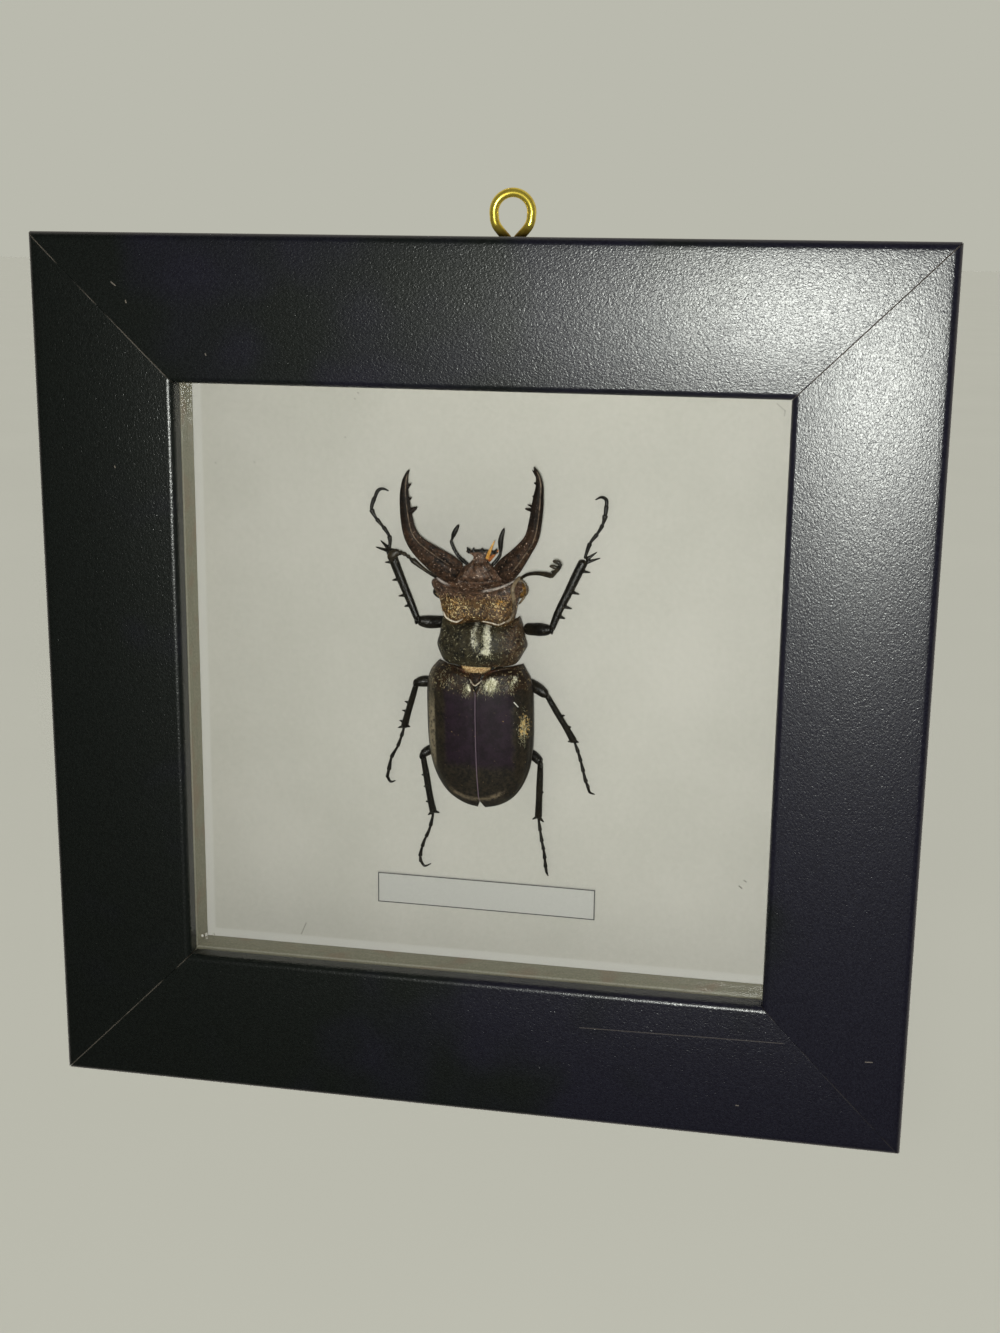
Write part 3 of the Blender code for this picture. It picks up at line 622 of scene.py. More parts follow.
def thorax_finish():
    """Front thorax: olive and black with coarse grains and painted glints, reddish at the right, with two
    silvery columns of hair painted with a highlight.

    The columns run back side by side from the head and meet in a hook before the rear edge.
    """
    look, point = finish("thorax_shell", Coat_Weight=0.04, Coat_Roughness=0.25, Specular_IOR_Level=0.25)
    x, _, z = point.parts()
    cloud = point.noise(0.4, 4, 0.65)
    fine = point.noise(1.3, 4, 0.75)
    speck = point.noise(2, 2, 0.8)
    olive = (cloud * 0.5 + fine * 0.5).step(0.38, 0.64).blend((9, 8, 4), (66, 60, 40))
    red = fine.step(0.36, 0.66).blend((24, 14, 8), (88, 68, 46))
    right = (x + cloud * 4).step(5.6, 9)
    rear = (1 - (z + cloud * 2).step(5.6, 6.8)) * (x + cloud * 2).step(0.5, 4)
    shade = right.sum_of('MAXIMUM', right, rear).blend(olive, red)
    # painted glints: sparse pale specks
    shade = (speck.step(0.6, 0.72) * 0.75).blend(shade, (170, 164, 132))
    # partly painted highlight: the silvery hair columns and their hook are painted brighter as the shine on
    # them
    sway = (cloud - 0.5) * 1.2
    first = (x + 1 + sway).bell(0, 1.5) * z.step(7.9, 9.4)
    second = (x - 1.75 - (11 - z) * 0.1 + sway).bell(0, 1.7) * z.step(6.8, 8)
    hook = spot(x, z, 1, 2.2, 7.8, 1.2)
    silver = 0.62 * first + 0.85 * second + 0.6 * hook
    shade = (silver + speck * 1.7).step(1.2, 1.75).blend(shade, (226, 224, 200))
    height = point.cells(1.6).step(0, 0.6) * 0.4 + fine
    return wire(look, Base_Color=shade, Roughness=0.36 + 0.15 * fine, Normal=height.bump(0.16))


def head_finish():
    """Head: granular red brown with painted glints before the ridge, a painted highlight along its crest,
    and gold flecks on dark brown behind it.
    """
    look, point = finish("head_shell", Coat_Weight=0.05, Coat_Roughness=0.25, Specular_IOR_Level=0.32)
    x, _, z = point.parts()
    fine = point.noise(1.3, 4, 0.75)
    cloud = point.noise(0.45, 3)
    speck = point.noise(2.1, 2, 0.8)
    front = (fine * 0.7 + cloud * 0.3).step(0.38, 0.64).blend((32, 20, 12), (106, 78, 58))
    # painted glints: pale specks on the front, crowded at the left ear
    crowd = 0.14 * spot(x, z, -7.4, 2.6, 24.6, 2.4)
    front = (speck + crowd).step(0.6, 0.7).blend(front, (206, 184, 162))
    gold = 0.1 * spot(x, z, -5, 4, 17, 3)
    gold = gold + 0.11 * spot(x, z, 4.2, 3, 18.2, 2.2)
    under = fine.step(0.34, 0.66).blend((36, 24, 11), (98, 69, 32))
    shine = cloud.step(0.4, 0.6).blend((200, 150, 66), (250, 234, 178))
    rear = (speck + gold).step(0.59, 0.72).blend(under, shine)
    behind = 1 - (z + cloud * 1.6).step(19.6, 20.5)
    inside = 1 - abs(x + 1).step(7.4, 8.6)
    shade = (behind * inside).blend(front, rear)
    bend = (x + 1.6) * (x + 1.6)
    # painted highlight along the ridge's crest
    crest_highlight = (z - 20.95 - 0.03 * bend).bell(0, 0.3) * (x.step(0, 1.5) + 1 - x.step(-8.5, -6.5))
    shade = (crest_highlight * fine.step(0.36, 0.5)).blend(shade, (236, 226, 214))
    height = point.cells(1.7).step(0, 0.6) * 0.4 + fine
    return wire(look, Base_Color=shade, Roughness=0.4 + 0.15 * fine, Normal=height.bump(0.16))


def hair_finish(name, dark, light):
    """Short hairs, each a little lighter or darker by where it stands."""
    look, point = finish(name, Roughness=0.45, Specular_IOR_Level=0.6)
    strand = point.noise(3, 2, 0.6)
    return wire(look, Base_Color=strand.step(0.3, 0.7).blend(dark, light))


# Frame pieces

def moulding_profile():
    """The rail's section as distance in from its outer edge and depth behind its front.

    Its front edges are quarter circles, and the sloped face between them swells as a parabola.
    """
    turn = np.linspace(0, np.pi / 2, 14)
    outer = np.stack([OUTER_ROUND * (1 - np.cos(turn)), OUTER_ROUND * (1 - np.sin(turn))], -1)
    start = RAIL_WIDTH - INNER_ROUND
    inner = np.stack([start + INNER_ROUND * np.sin(turn), FACE_SLOPE + INNER_ROUND * (1 - np.cos(turn))], -1)
    share = np.linspace(0, 1, 26)[1:-1, None]
    face = outer[-1] + share * (inner[0] - outer[-1] - np.array((0, FACE_BULGE * 4)) * (1 - share))
    back = [(RAIL_WIDTH, LIP_BACK), (RABBET_FROM_EDGE, LIP_BACK), (RABBET_FROM_EDGE, -FRONT), (0, -FRONT)]
    return np.concatenate([outer, face, inner, back])


def rail(name, quarters, look):
    """One mitred length: the section carried along the rail, its ends cut at 45 degrees and bevelled."""
    profile = moulding_profile()
    middle = profile.mean(0)
    small = middle + (profile - middle) * (1 - MITRE_BEVEL / 8)
    rings = []
    for share, section, gap in ((-1, small, 0), (-1, profile, 1), (1, profile, 1), (1, small, 0)):
        length = HALF_SIDE - section[:, 0] - MITRE_GAP - gap * MITRE_BEVEL
        rings.append(np.stack([share * length, FRONT + section[:, 1], HALF_SIDE - section[:, 0]], -1))
    mesh = mesh_of(name + "_moulding", [closed_form(turned(np.array(rings), quarters))], sharp=10)
    show(mesh, look, "frame_black", name)


def make_frame():
    """The four rails, and finishes for the CAD's pane, board and back panel."""
    across = moulding_finish("moulding_across", 0.7, 1, MARKS_ACROSS)
    upright = moulding_finish("moulding_upright", 1, 0.7, MARKS_UPRIGHT)
    for quarters, side in enumerate(SIDES):
        rail("rail_" + side, quarters, (across, upright)[quarters % 2])
    dressed = {"glass_pane": glass_finish(), "mount_board": board_finish(),
               "back_panel": fibreboard_finish()}
    for node, look in dressed.items():
        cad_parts[node].data.materials.clear()
        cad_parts[node].data.materials.append(look)


def make_lining():
    """Four card strips round the box's inside, from just behind the glass to just before the board."""
    look = lining_finish()
    low, high = LINING_FRONT, BOARD_FACE - 0.3
    section = np.array([(LINING_INSIDE, low + 0.15), (LINING_INSIDE + 0.15, low), (PANEL_HALF, low),
                        (PANEL_HALF, high), (LINING_INSIDE, high)])
    for quarters, side in enumerate(SIDES):
        reach = np.full(5, (PANEL_HALF, LINING_INSIDE - 0.1)[quarters % 2])
        rings = [np.stack([end * reach, section[:, 1], section[:, 0]], -1) for end in (-1, 1)]
        mesh = mesh_of("lining_" + side, [closed_form(turned(np.array(rings), quarters))], sharp=10)
        show(mesh, look, "spacer_grey", "spacer_" + side)


def make_crumbs():
    """Small lumps of glue in the box's lower left corner."""
    look, point = finish("glue_crumb", Roughness=0.5)
    wire(look, Base_Color=point.noise(1.5, 3).step(0.35, 0.65).blend((150, 146, 130), (232, 232, 224)))
    lumps = []
    for x, z, height, size in CRUMBS:
        rows = [(x - 0.3, z, height, 0.2), (x, z + 0.1, height + 0.2, size), (x + 0.3, z - 0.1, height, 0.2)]
        lumps.append(limb(rows, 16, sides=12, ends=0.4))
    show(grown_mesh("glue_crumbs", lumps, 0.1, 1), look, "board_paper")


def make_label():
    """A strip of paper just off the board, its ends lifted as the fourth power of the way out."""
    share = np.linspace(-1, 1, 60)[:, None]
    lift = 0.32 + 0.12 * share**4
    section = np.array([(-1, 0), (-0.6, 0), (-0.2, 0), (0.2, 0), (0.6, 0), (1, 0), (1, 1), (0.2, 1),
                        (-0.6, 1), (-1, 1)])
    x = LABEL_MIDDLE[0] + LABEL_HALF[0] * share + 0 * section[:, 0]
    z = LABEL_MIDDLE[1] + LABEL_HALF[1] * section[:, 0] - LABEL_TILT * (x - LABEL_MIDDLE[0])
    y = BOARD_FACE - lift - LABEL_THICKNESS * section[:, 1]
    mesh = mesh_of("label_strip", [closed_form(np.stack([x, y, z], -1))], sharp=30)
    show(mesh, label_finish(), "label_paper", "label")


def make_tape():
    """Four paper strips over the joint between back panel and rails, a little wavy along their edges."""
    half_length = PANEL_HALF + TAPE_HALF_WIDTH
    along = np.linspace(-1, 1, 160)
    edge = 0.25 * ripple(along * 40, along * 0, 5)
    section = np.linspace(0, 1, 12)
    forms = []
    for turn in range(4):
        low, high = PANEL_HALF - TAPE_HALF_WIDTH + edge, PANEL_HALF + TAPE_HALF_WIDTH - edge[::-1]
        z = low[:, None] + (high - low)[:, None] * section
        x = along[:, None] * (half_length - 0.4 * turn) + 0 * z
        bulge = 0.05 * (1 + ripple(x * 0.3, z * 0.3, 7 + turn))
        top = np.stack([x, 0.06 + bulge + 0.02 * (turn % 2), z], -1)
        under = np.stack([x, 0 * x + 0.01, z], -1)[:, ::-1]
        forms.append(closed_form(turned(np.concatenate([top, under], 1), turn)))
    show(mesh_of("back_tape", forms), tape_finish(), "back_brown")


def make_hanging_eye():
    """A wire bent in a ring whose ends meet in a point over the rail and run into it as one shank."""
    centre_z = RING_TOP + 0.3 - EYE_RADIUS - EYE_WIRE
    turn = np.linspace(np.radians(80), np.radians(280), 120)
    x = EYE_X - EYE_RADIUS * np.sin(turn)
    z = centre_z - EYE_RADIUS * np.cos(turn)
    foot_x, foot_z = EYE_X - np.array(EYE_FOOT)[:, 0], centre_z - np.array(EYE_FOOT)[:, 1]
    path_x = np.concatenate([foot_x[::-1], x, 2 * EYE_X - foot_x])
    path_z = np.concatenate([foot_z[::-1], z, foot_z])
    rows = np.stack(np.broadcast_arrays(path_x, path_z, BOARD_FACE - EYE_Y, EYE_WIRE), -1)
    wire_form = limb(rows, 420, sides=24, ends=0.004)
    post = [(EYE_X, z, BOARD_FACE - EYE_Y, EYE_POST_RADIUS) for z in EYE_POST]
    shank = limb(post, 40, sides=20, ends=0.06)
    show(mesh_of("hanging_eye_brass", [wire_form, shank]), brass_finish(), "brass", "hanging_screw_eye")


# Beetle

def wing_half_width(t):
    """Distance from the seam to the side, t back from the wing cases' front."""
    front = WING_HALF_WIDTH - 2.5 * np.clip(1 - t / 11, 0, 1) ** 5
    rear = np.clip(1 - np.clip((t - 12) / 21, 0, 1) ** 2.8, 0, 1) ** 0.455
    return front * rear


def wing_top(t):
    """Height of the wing cases along the seam."""
    front = WING_TOP - 1.8 * np.clip(1 - t / 11, 0, 1) ** 2
    rear = np.clip(1 - np.clip((t - 11) / 22.2, 0, 1) ** 2.6, 0, 1) ** 0.5
    return WING_MARGIN + (front - WING_MARGIN) * rear


def wing_seam(t):
    """Gap from the middle line to each wing case: open at the shield and again at the tip."""
    return 0.03 + 1.9 * np.clip(1 - t / 4.8, 0, 1) + 0.45 * np.clip(t - 31, 0, 2)


def wing_surface(side, t, bend, inward=0):
    """Points on a wing case, t back from its front, at an angle from the seam, 0, to the margin, 90 degrees.

    Across, the point stands out as the sine, and its height falls as the cosine to the power 0.85. On that
    stand a bead along the seam and another along the margin, a shoulder boss, a roll down to the front edge
    and a low fold before the tip.
    """
    thin = np.minimum(inward, 0.4 * wing_half_width(t))
    seam, width = wing_seam(t), wing_half_width(t) - thin
    across = seam + np.maximum(width - seam, 0.25) * np.sin(bend)
    height = WING_MARGIN + (wing_top(t) - thin - WING_MARGIN) * np.cos(bend) ** 0.85
    if inward == 0:
        from_seam = across - seam
        from_side = (width - seam) * (1 - np.sin(bend))
        fade = rise(WING_LENGTH - t, 0.5, 3)
        height = height + 0.09 * hill(from_seam, 0.08, 0.16) - 0.04 * hill(from_seam, 0.6, 0.35)
        height = height + fade * (0.26 * hill(from_side, 0.05, 0.1) - 0.12 * hill(from_side, 0.4, 0.2))
        height = height + 0.5 * hill(t, 4.4, 2.4) * hill(across, 7.4, 1.9)
        height = height - 1.7 * np.clip(1 - t / 1.5, 0, 1) ** 2
        height = height + 0.22 * hill(t, 29.4, 0.8) * np.cos(bend) - 0.3 * rise(t, 29.6, 31.5) * np.cos(bend)
        height = height + 0.05 * ripple(across * 0.8, t * 0.8, 3) * np.cos(bend)
    notch = 1.7 * np.exp(-((across / 3.8) ** 2)) * (1 - t / WING_LENGTH) ** 6
    back = t + notch
    middle = WING_BASE[0] + WING_LEAN * back
    return place(middle + side * across, WING_BASE[1] - back, height)


def make_wings():
    """Each wing case: rings of its upper skin and of the same skin set in, at sine steps to its tip."""
    look = wing_finish()
    share = np.concatenate([np.linspace(0, 0.06, 14)[:-1], np.linspace(0.06, 1, 130)])[:, None]
    t = WING_LENGTH * np.sin(share * np.pi / 2) * 0.999
    over = np.sin(np.linspace(0, np.pi / 2, 64)) * 0.5 + np.linspace(0, 1, 64) * 0.5
    under = np.linspace(1, 0, 14)
    for name, side in (("elytron_left", -1), ("elytron_right", 1)):
        outer = wing_surface(side, t, over * np.pi / 2)
        inner = wing_surface(side, t, under * np.pi / 2, WING_THICKNESS)
        mesh = mesh_of(name + "_shell", [closed_form(np.concatenate([outer, inner], 1))])
        show(mesh, look, "beetle_wing", name)


def make_torso(look):
    """The body under the wing cases: a low dome narrower than the cases all along, from waist to tip."""
    t = np.array([6, 10, 15, 20, 25, 28.5, 31])
    clear = WING_THICKNESS + 0.8
    rows = [(4.1, -1, 4.4, 8.2, 3), (2.2, -1, 6, 8.2, 1.6), (0.3, -0.9, 9.2, 8.4, 0.7)]
    for back, half, top in zip(t, wing_half_width(t) - clear, wing_top(t) - clear):
        rows.append((WING_BASE[1] - back, WING_BASE[0] + WING_LEAN * back, half, top, 0.4 + 0.06 * back))
    rings, _ = body_rings(rows, WING_MARGIN, 70, 48, 0.9)
    show(mesh_of("torso_shell", [closed_form(rings)]), look, "beetle_black", "hind_body")


def make_shield(look):
    """The shield between the wing cases: a tongue whose half width falls as a quarter ellipse."""
    share = np.linspace(0, 1, 30)[:, None]
    angle = np.arange(28) * 2 * np.pi / 28
    half = 1.25 * np.sqrt(np.maximum(1 - share**2, 0.004))
    z = 2.6 - 2.6 * share + 0 * angle
    height = 9 + 1.1 * np.sqrt(share) + 0.42 * half * np.sin(angle)
    rings = place(WING_BASE[0] - 0.1 + half * np.cos(angle), z, height)
    show(mesh_of("shield_shell", [closed_form(rings)]), look, "beetle_brown", "scutellum")


PRONOTUM_ROWS = [
    (4.2, -0.8, 6.9, 7.4, 3.6), (4.5, -0.8, 7.9, 9.1, 2.8), (5.3, -0.75, 8.6, 10.1, 2.1),
    (6.6, -0.65, 9.25, 10.6, 1.8), (7.7, -0.5, 9.8, 10.85, 1.6), (8.4, -0.45, 9.85, 10.85, 1.6),
    (9.6, -0.45, 9.4, 10.7, 1.6), (11.2, -0.5, 9, 10.35, 1.7), (12.6, -0.55, 8.45, 9.7, 2.2),
    (13.6, -0.5, 7.4, 8.4, 3.2),
]


def pronotum_relief(x, z):
    """Height added to the front thorax: a middle groove between two swellings, dents, a rim and pits."""
    groove = -0.16 * hill(x, 0.2, 0.7) * rise(z, 5.6, 7.5)
    swell = 0.14 * hill(x, -1.4, 1.1) + 0.16 * hill(x, 1.9, 1.2)
    dents = -0.25 * knoll(x, z, -6.3, 1.6, 9.4, 2) - 0.2 * knoll(x, z, 5.6, 1.5, 8.8, 2.2)
    rim = 0.18 * hill(z, 4.75, 0.28) - 0.1 * hill(z, 5.35, 0.3)
    return groove + swell + dents + rim + 0.07 * ripple(x * 1.3, z * 1.3, 11)


def make_pronotum():
    """The front thorax: a broad dome, its front corners drawn forward by the twelfth power of x."""
    rings, lift = body_rings(PRONOTUM_ROWS, PRONOTUM_MARGIN, 110, 120, 0.72)
    x, z = rings[..., 0], rings[..., 2]
    rings[..., 1] -= lift * pronotum_relief(x, z)
    forward = np.linspace(0, 1, len(rings))[:, None] ** 3
    side = np.minimum(np.abs(x + 0.5) / 8.1, 1.04)
    rings[..., 2] += forward * (1.7 * side**12 - 0.5 * (1 - side**2))
    rings[..., 2] -= (1 - forward) ** 12 * 0.5 * (1 - side**2)
    show(mesh_of("pronotum_shell", [closed_form(rings)]), thorax_finish(), "beetle_bronze", "pronotum")
    return rings


HEAD_ROWS = [
    (13.3, -1.1, 5.9, 7.4, 3.6), (13.6, -1.1, 6.9, 8.4, 3), (14.3, -1.1, 7.7, 9, 2.6),
    (16.2, -1.1, 8.2, 9.4, 2.2), (18.4, -1.2, 8.7, 9.6, 2.2), (20, -1.3, 9.5, 9.7, 2.4),
    (21.2, -1.4, 10.1, 9.5, 2.6), (22.2, -1.55, 10, 8.9, 3), (23, -1.6, 8.7, 8.3, 3.4),
    (24, -1.55, 6.6, 7.9, 3.9), (25, -1.4, 4.4, 7.7, 4.4), (26, -1.2, 2.7, 7.5, 4.9),
    (27, -1.05, 1.7, 7.2, 5.4), (27.8, -0.95, 1.5, 7, 5.7), (28.3, -0.7, 2.3, 6.9, 5.7),
    (28.8, -0.55, 3.5, 6.8, 5.8), (29.2, -0.55, 3.3, 6.7, 6),
]


def beside_line(x, z, start, end):
    """Distance of points from a straight stretch between two points."""
    start, along = np.array(start), np.array(end) - np.array(start)
    share = np.clip(((x - start[0]) * along[0] + (z - start[1]) * along[1]) / (along @ along), 0, 1)
    return np.hypot(x - start[0] - share * along[0], z - start[1] - share * along[1])


def head_relief(x, z):
    """Height added to the head: a sharp ridge, hollows before and behind it, lobes, brows and grain."""
    line = 20.7 + 0.03 * (x + 1.9) ** 2
    ahead = z - line
    ridge = 0.8 * np.where(ahead > 0, hill(ahead, 0, 0.24), hill(ahead, 0, 0.5))
    hollow = -1.15 * hill(ahead, 1.5, 1.05) * np.exp(-((x + 1.3) / 8.5) ** 6)
    plate = -0.45 * knoll(x, z, -1.1, 5.5, 17.6, 2.2)
    lobes = 0.55 * knoll(x, z, -6, 2.4, 14.9, 1.7) + 0.55 * knoll(x, z, 4, 2.4, 14.7, 1.7)
    notch = -0.8 * knoll(x, z, -1.6, 1.8, 13.6, 1)
    brow = 0.5 * hill(beside_line(x, z, (-2.3, 26.4), (-5.4, 22.6)), 0, 0.42)
    brow += 0.5 * hill(beside_line(x, z, (0.6, 26.4), (3.3, 22.9)), 0, 0.42)
    middle = 0.6 * np.clip(1 - np.abs(x + 1.1) / (1.4 + 0.62 * np.clip(26.4 - z, 0, 5)), 0, 1) ** 0.5
    middle = middle * rise(z, 22.3, 23.6) * (1 - rise(z, 25.8, 26.8))
    ears = 0.5 * knoll(x, z, -10.4, 1, 21.8, 1) + 0.4 * knoll(x, z, 7.4, 1.1, 21.6, 1.2)
    grain = 0.07 * ripple(x * 2.4, z * 2.4, 21) + 0.04 * ripple(x * 4.6, z * 4.6, 22)
    return ridge + hollow + plate + lobes + notch + brow + middle + ears + grain


def make_head():
    """The head: one long dome with its relief, its rear edge drawn back in two lobes.

    Returned are the rings as they were before the lobes.
    """
    rings, lift = body_rings(HEAD_ROWS, HEAD_MARGIN, 190, 132, 0.75)
    x, z = rings[..., 0], rings[..., 2]
    rings[..., 1] -= lift**0.7 * head_relief(x, z)
    straight = rings.copy()
    rear = 1 - rise(z, 13.2, 15.6)
    rings[..., 2] -= rear * (0.75 * hill(x, -6, 2.3) + 0.95 * hill(x, 4.4, 2.4) - 0.5 * hill(x, -1.5, 1.8))
    show(mesh_of("head_shell", [closed_form(rings)]), head_finish(), "beetle_brown", "head")
    return straight


def make_mouth(look):
    """The toothed lip, the mouth's two feelers and the left eye: limbs grown into one piece."""
    lip = [thorn((x, 29, 6.4), (x + lean, 29.9, 6.6), size) for x, lean, size in LIP_TEETH]
    lip.append(limb([(-3.9, 28.7, 6.3, 0.38), (-0.6, 29.1, 6.4, 0.42), (2.7, 28.8, 6.3, 0.38)], 30))
    palps = [
        limb([(-3.4, 25.4, 5.4, 0.42), (-6.2, 27.7, 5, 0.38), (-7.6, 30.4, 5, 0.36), (-7.5, 31.2, 5, 0.26),
              (-7, 32.6, 5, 0.55), (-6, 34.5, 5, 0.32)], 60),
        limb([(1.2, 25.6, 5.4, 0.42), (2.8, 27.6, 5, 0.38), (3.2, 28.8, 5, 0.3), (3.2, 29.9, 5, 0.5),
              (3.25, 31.6, 5, 0.58), (3.95, 34.2, 5, 0.3)], 60),
    ]
    eye = limb([(-10.2, 18.1, 5.6, 0.7), (-10.2, 19.6, 5.7, 1.35), (-10.2, 21, 5.6, 0.7)], 30, sides=24,
               ends=0.4)
    show(grown_mesh("mouth_and_eye", lip + palps + [eye], 0.1, 2), look, "beetle_black")


def make_head_trim():
    """Limbs on the head and round the shield: a strap and a thin line round an amber lobe, pale rims painted
    as highlight lines, and two amber darts.
    """
    strap_look = shell_finish("head_strap", (58, 46, 32), (132, 116, 90), 0.3, 1.4, 0.05, 0.2)
    strap = limb([(8, 24.1, 7.2, 0.3), (7.2, 23, 8.2, 0.4), (6.7, 21.5, 8.8, 0.42), (6.9, 19.7, 8.7, 0.42),
                  (7, 18, 8.5, 0.42), (6.8, 16.2, 8.4, 0.4), (6.2, 14.8, 8.5, 0.36), (4.9, 14, 8.8, 0.3)],
                  90, flat=0.7)
    ring = limb([(7.2, 23.6, 6.6, 0.25), (8.9, 22.5, 6.6, 0.24), (9.35, 21, 6.6, 0.24),
                 (8.7, 19.3, 6.6, 0.24), (7.6, 17.8, 6.6, 0.2)], 60)
    show(mesh_of("head_strap", [strap, ring]), strap_look, "beetle_brown")
    horn = shell_finish("amber_lobe", (58, 40, 14), (136, 100, 46), 0.35, 1.4, 0.04)
    lobe = limb([(7.8, 22.6, 5.6, 0.9), (8.2, 20.9, 5.9, 1.45), (7.7, 19, 5.6, 0.9)], 40, sides=28, ends=0.4)
    show(mesh_of("amber_lobe", [lobe]), horn, "beetle_brown")
    # painted highlight: the raised rims at the lobes and round the shield are coloured pale
    pale = shell_finish("rim_painted_highlight", (120, 106, 86), (232, 222, 200), 0.3, 1.6, 0.03)
    rims = [limb([(-8.6, 15.8, 8.3, 0.14), (-7.8, 14.5, 8.7, 0.18), (-5.7, 13.75, 8.9, 0.2),
                  (-4, 14.6, 9.2, 0.14)], 40),
            limb([(0.2, 14.3, 9.4, 0.12), (2, 14, 9.2, 0.17), (3.7, 13.6, 8.9, 0.2), (5.2, 14.3, 8.9, 0.15)],
                 40),
            limb([(-2.3, 1.5, 10.2, 0.1), (-1.6, 0.5, 10.4, 0.15), (-1, 0.1, 10.5, 0.12),
                  (-0.4, 0.5, 10.4, 0.15), (0.5, 1.4, 10.2, 0.1)], 50)]
    show(mesh_of("rim_painted_highlight", rims), pale, "beetle_brown")
    amber = shell_finish("amber_dart", (180, 120, 34), (236, 190, 108), 0.35, 2, 0.02)
    rust = shell_finish("rust_dart", (120, 58, 16), (196, 124, 60), 0.35, 2, 0.02)
    dart = limb([(0.5, 27.4, 6.6, 0.42), (1.2, 29.2, 6.8, 0.34), (2.3, 31.7, 6.9, 0.1)], 24, flat=0.6)
    show(mesh_of("amber_dart", [dart]), amber, "beetle_brown")
    dart = limb([(0.8, 26.9, 6.2, 0.4), (1.9, 28.3, 6.3, 0.36), (3, 29.5, 6.3, 0.22)], 24, flat=0.6)
    show(mesh_of("rust_dart", [dart]), rust, "beetle_brown")


# Lip teeth as x, lean and radius
LIP_TEETH = ((-3.4, -0.5, 0.5), (-2.5, 0.1, 0.42), (-0.6, 0.1, 0.5), (1.2, 0.2, 0.5), (2.3, 0.4, 0.4))
# Jaws as rows of x, z, height and radius, and their teeth as root, tip and radius
LEFT_MANDIBLE = [
    (-5.6, 23.5, 6, 2.6), (-8.4, 25.3, 6.7, 2.95), (-11.9, 27.8, 7.2, 2.5), (-14.1, 29.6, 7.4, 2.1),
    (-15.5, 31.3, 7.6, 1.75), (-16.4, 33.4, 7.8, 1.5), (-16.9, 36.2, 8, 1.35), (-17.2, 39.3, 8.2, 1.15),
    (-17.3, 41.4, 8.3, 0.95), (-17.1, 43.8, 8.4, 0.7), (-16.7, 45.4, 8.4, 0.4), (-16.2, 46.5, 8.4, 0.14),
]
RIGHT_MANDIBLE = [
    (3.5, 23.7, 6, 2.4), (5.7, 26.1, 6.8, 2.5), (7.5, 28.2, 7.2, 2.1), (9, 30.2, 7.4, 1.75),
    (10.2, 32, 7.6, 1.55), (10.9, 34, 7.8, 1.45), (11.4, 37, 8, 1.35), (11.75, 39.8, 8.2, 1.25),
    (11.9, 41.6, 8.3, 1.1), (12.1, 43.8, 8.4, 0.85), (11.9, 45.6, 8.4, 0.62), (11.4, 46.9, 8.4, 0.42),
    (10.75, 48.1, 8.4, 0.14),
]
LEFT_TEETH = [
    ((-16.9, 36.9, 8.1), (-14.4, 38.4, 8.2), 1), ((-16.9, 39.5, 8.2), (-15.6, 40.5, 8.3), 0.6),
    ((-16.9, 42.5, 8.3), (-15.7, 43.5, 8.4), 0.6),
]
RIGHT_TEETH = [
    ((11.2, 38.6, 8.1), (8.9, 39, 8.2), 0.62), ((11.2, 39.4, 8.1), (9.4, 39.9, 8.3), 0.42),
    ((11.8, 41.3, 8.3), (10.5, 41.8, 8.3), 0.55), ((11.9, 42.2, 8.3), (11, 42.5, 8.3), 0.35),
    ((12, 44.1, 8.4), (10.8, 44.7, 8.4), 0.5), ((11.6, 45.9, 8.4), (10.4, 47.4, 8.4), 0.36),
]


def keel(rows):
    """A fine raised line on a jaw: a thin limb at 0.45 of the radius to the right of its path."""
    x, z, height, radius = curve(rows, 40)[3:-3].T
    along = np.stack([np.gradient(x), np.gradient(z)])
    along /= np.linalg.norm(along, axis=0)
    offset = 0.45 * radius
    line = np.stack([x + offset * along[1], z - offset * along[0], height + 0.66 * radius, 0 * x + 0.15], -1)
    return limb(line, 120, sides=8)


def make_jaws(look):
    """The mandibles: flattened limbs with a line and a groove on the inner side, grown with their teeth."""
    jaws = (("left", LEFT_MANDIBLE, LEFT_TEETH, 0), ("right", RIGHT_MANDIBLE, RIGHT_TEETH, np.pi))
    for side, rows, teeth, inner in jaws:
        def section(angle, inner=inner):
            away = np.abs((angle - inner + np.pi) % (2 * np.pi) - np.pi)
            on_top = np.sin(angle) > -0.1
            line = 0.12 * hill(away, np.radians(24), 0.16) - 0.11 * hill(away, np.radians(52), 0.24)
            return 1 + on_top * line
        jaw = limb(rows, 150, sides=48, flat=0.72, ends=0.03, section=section)
        name = "mandible_" + side
        mesh = grown_mesh(name + "_shell", [jaw] + [thorn(*tooth) for tooth in teeth], 0.1, 2)
        show(mesh, look, "beetle_brown", name)
    # painted highlight: the raised keels are coloured paler than the jaws
    pale = shell_finish("keel_painted_highlight", (40, 30, 22), (126, 108, 88), 0.3, 1.2, 0.03)
    show(mesh_of("mandible_keels", [keel(LEFT_MANDIBLE), keel(RIGHT_MANDIBLE)]), pale, "beetle_brown")


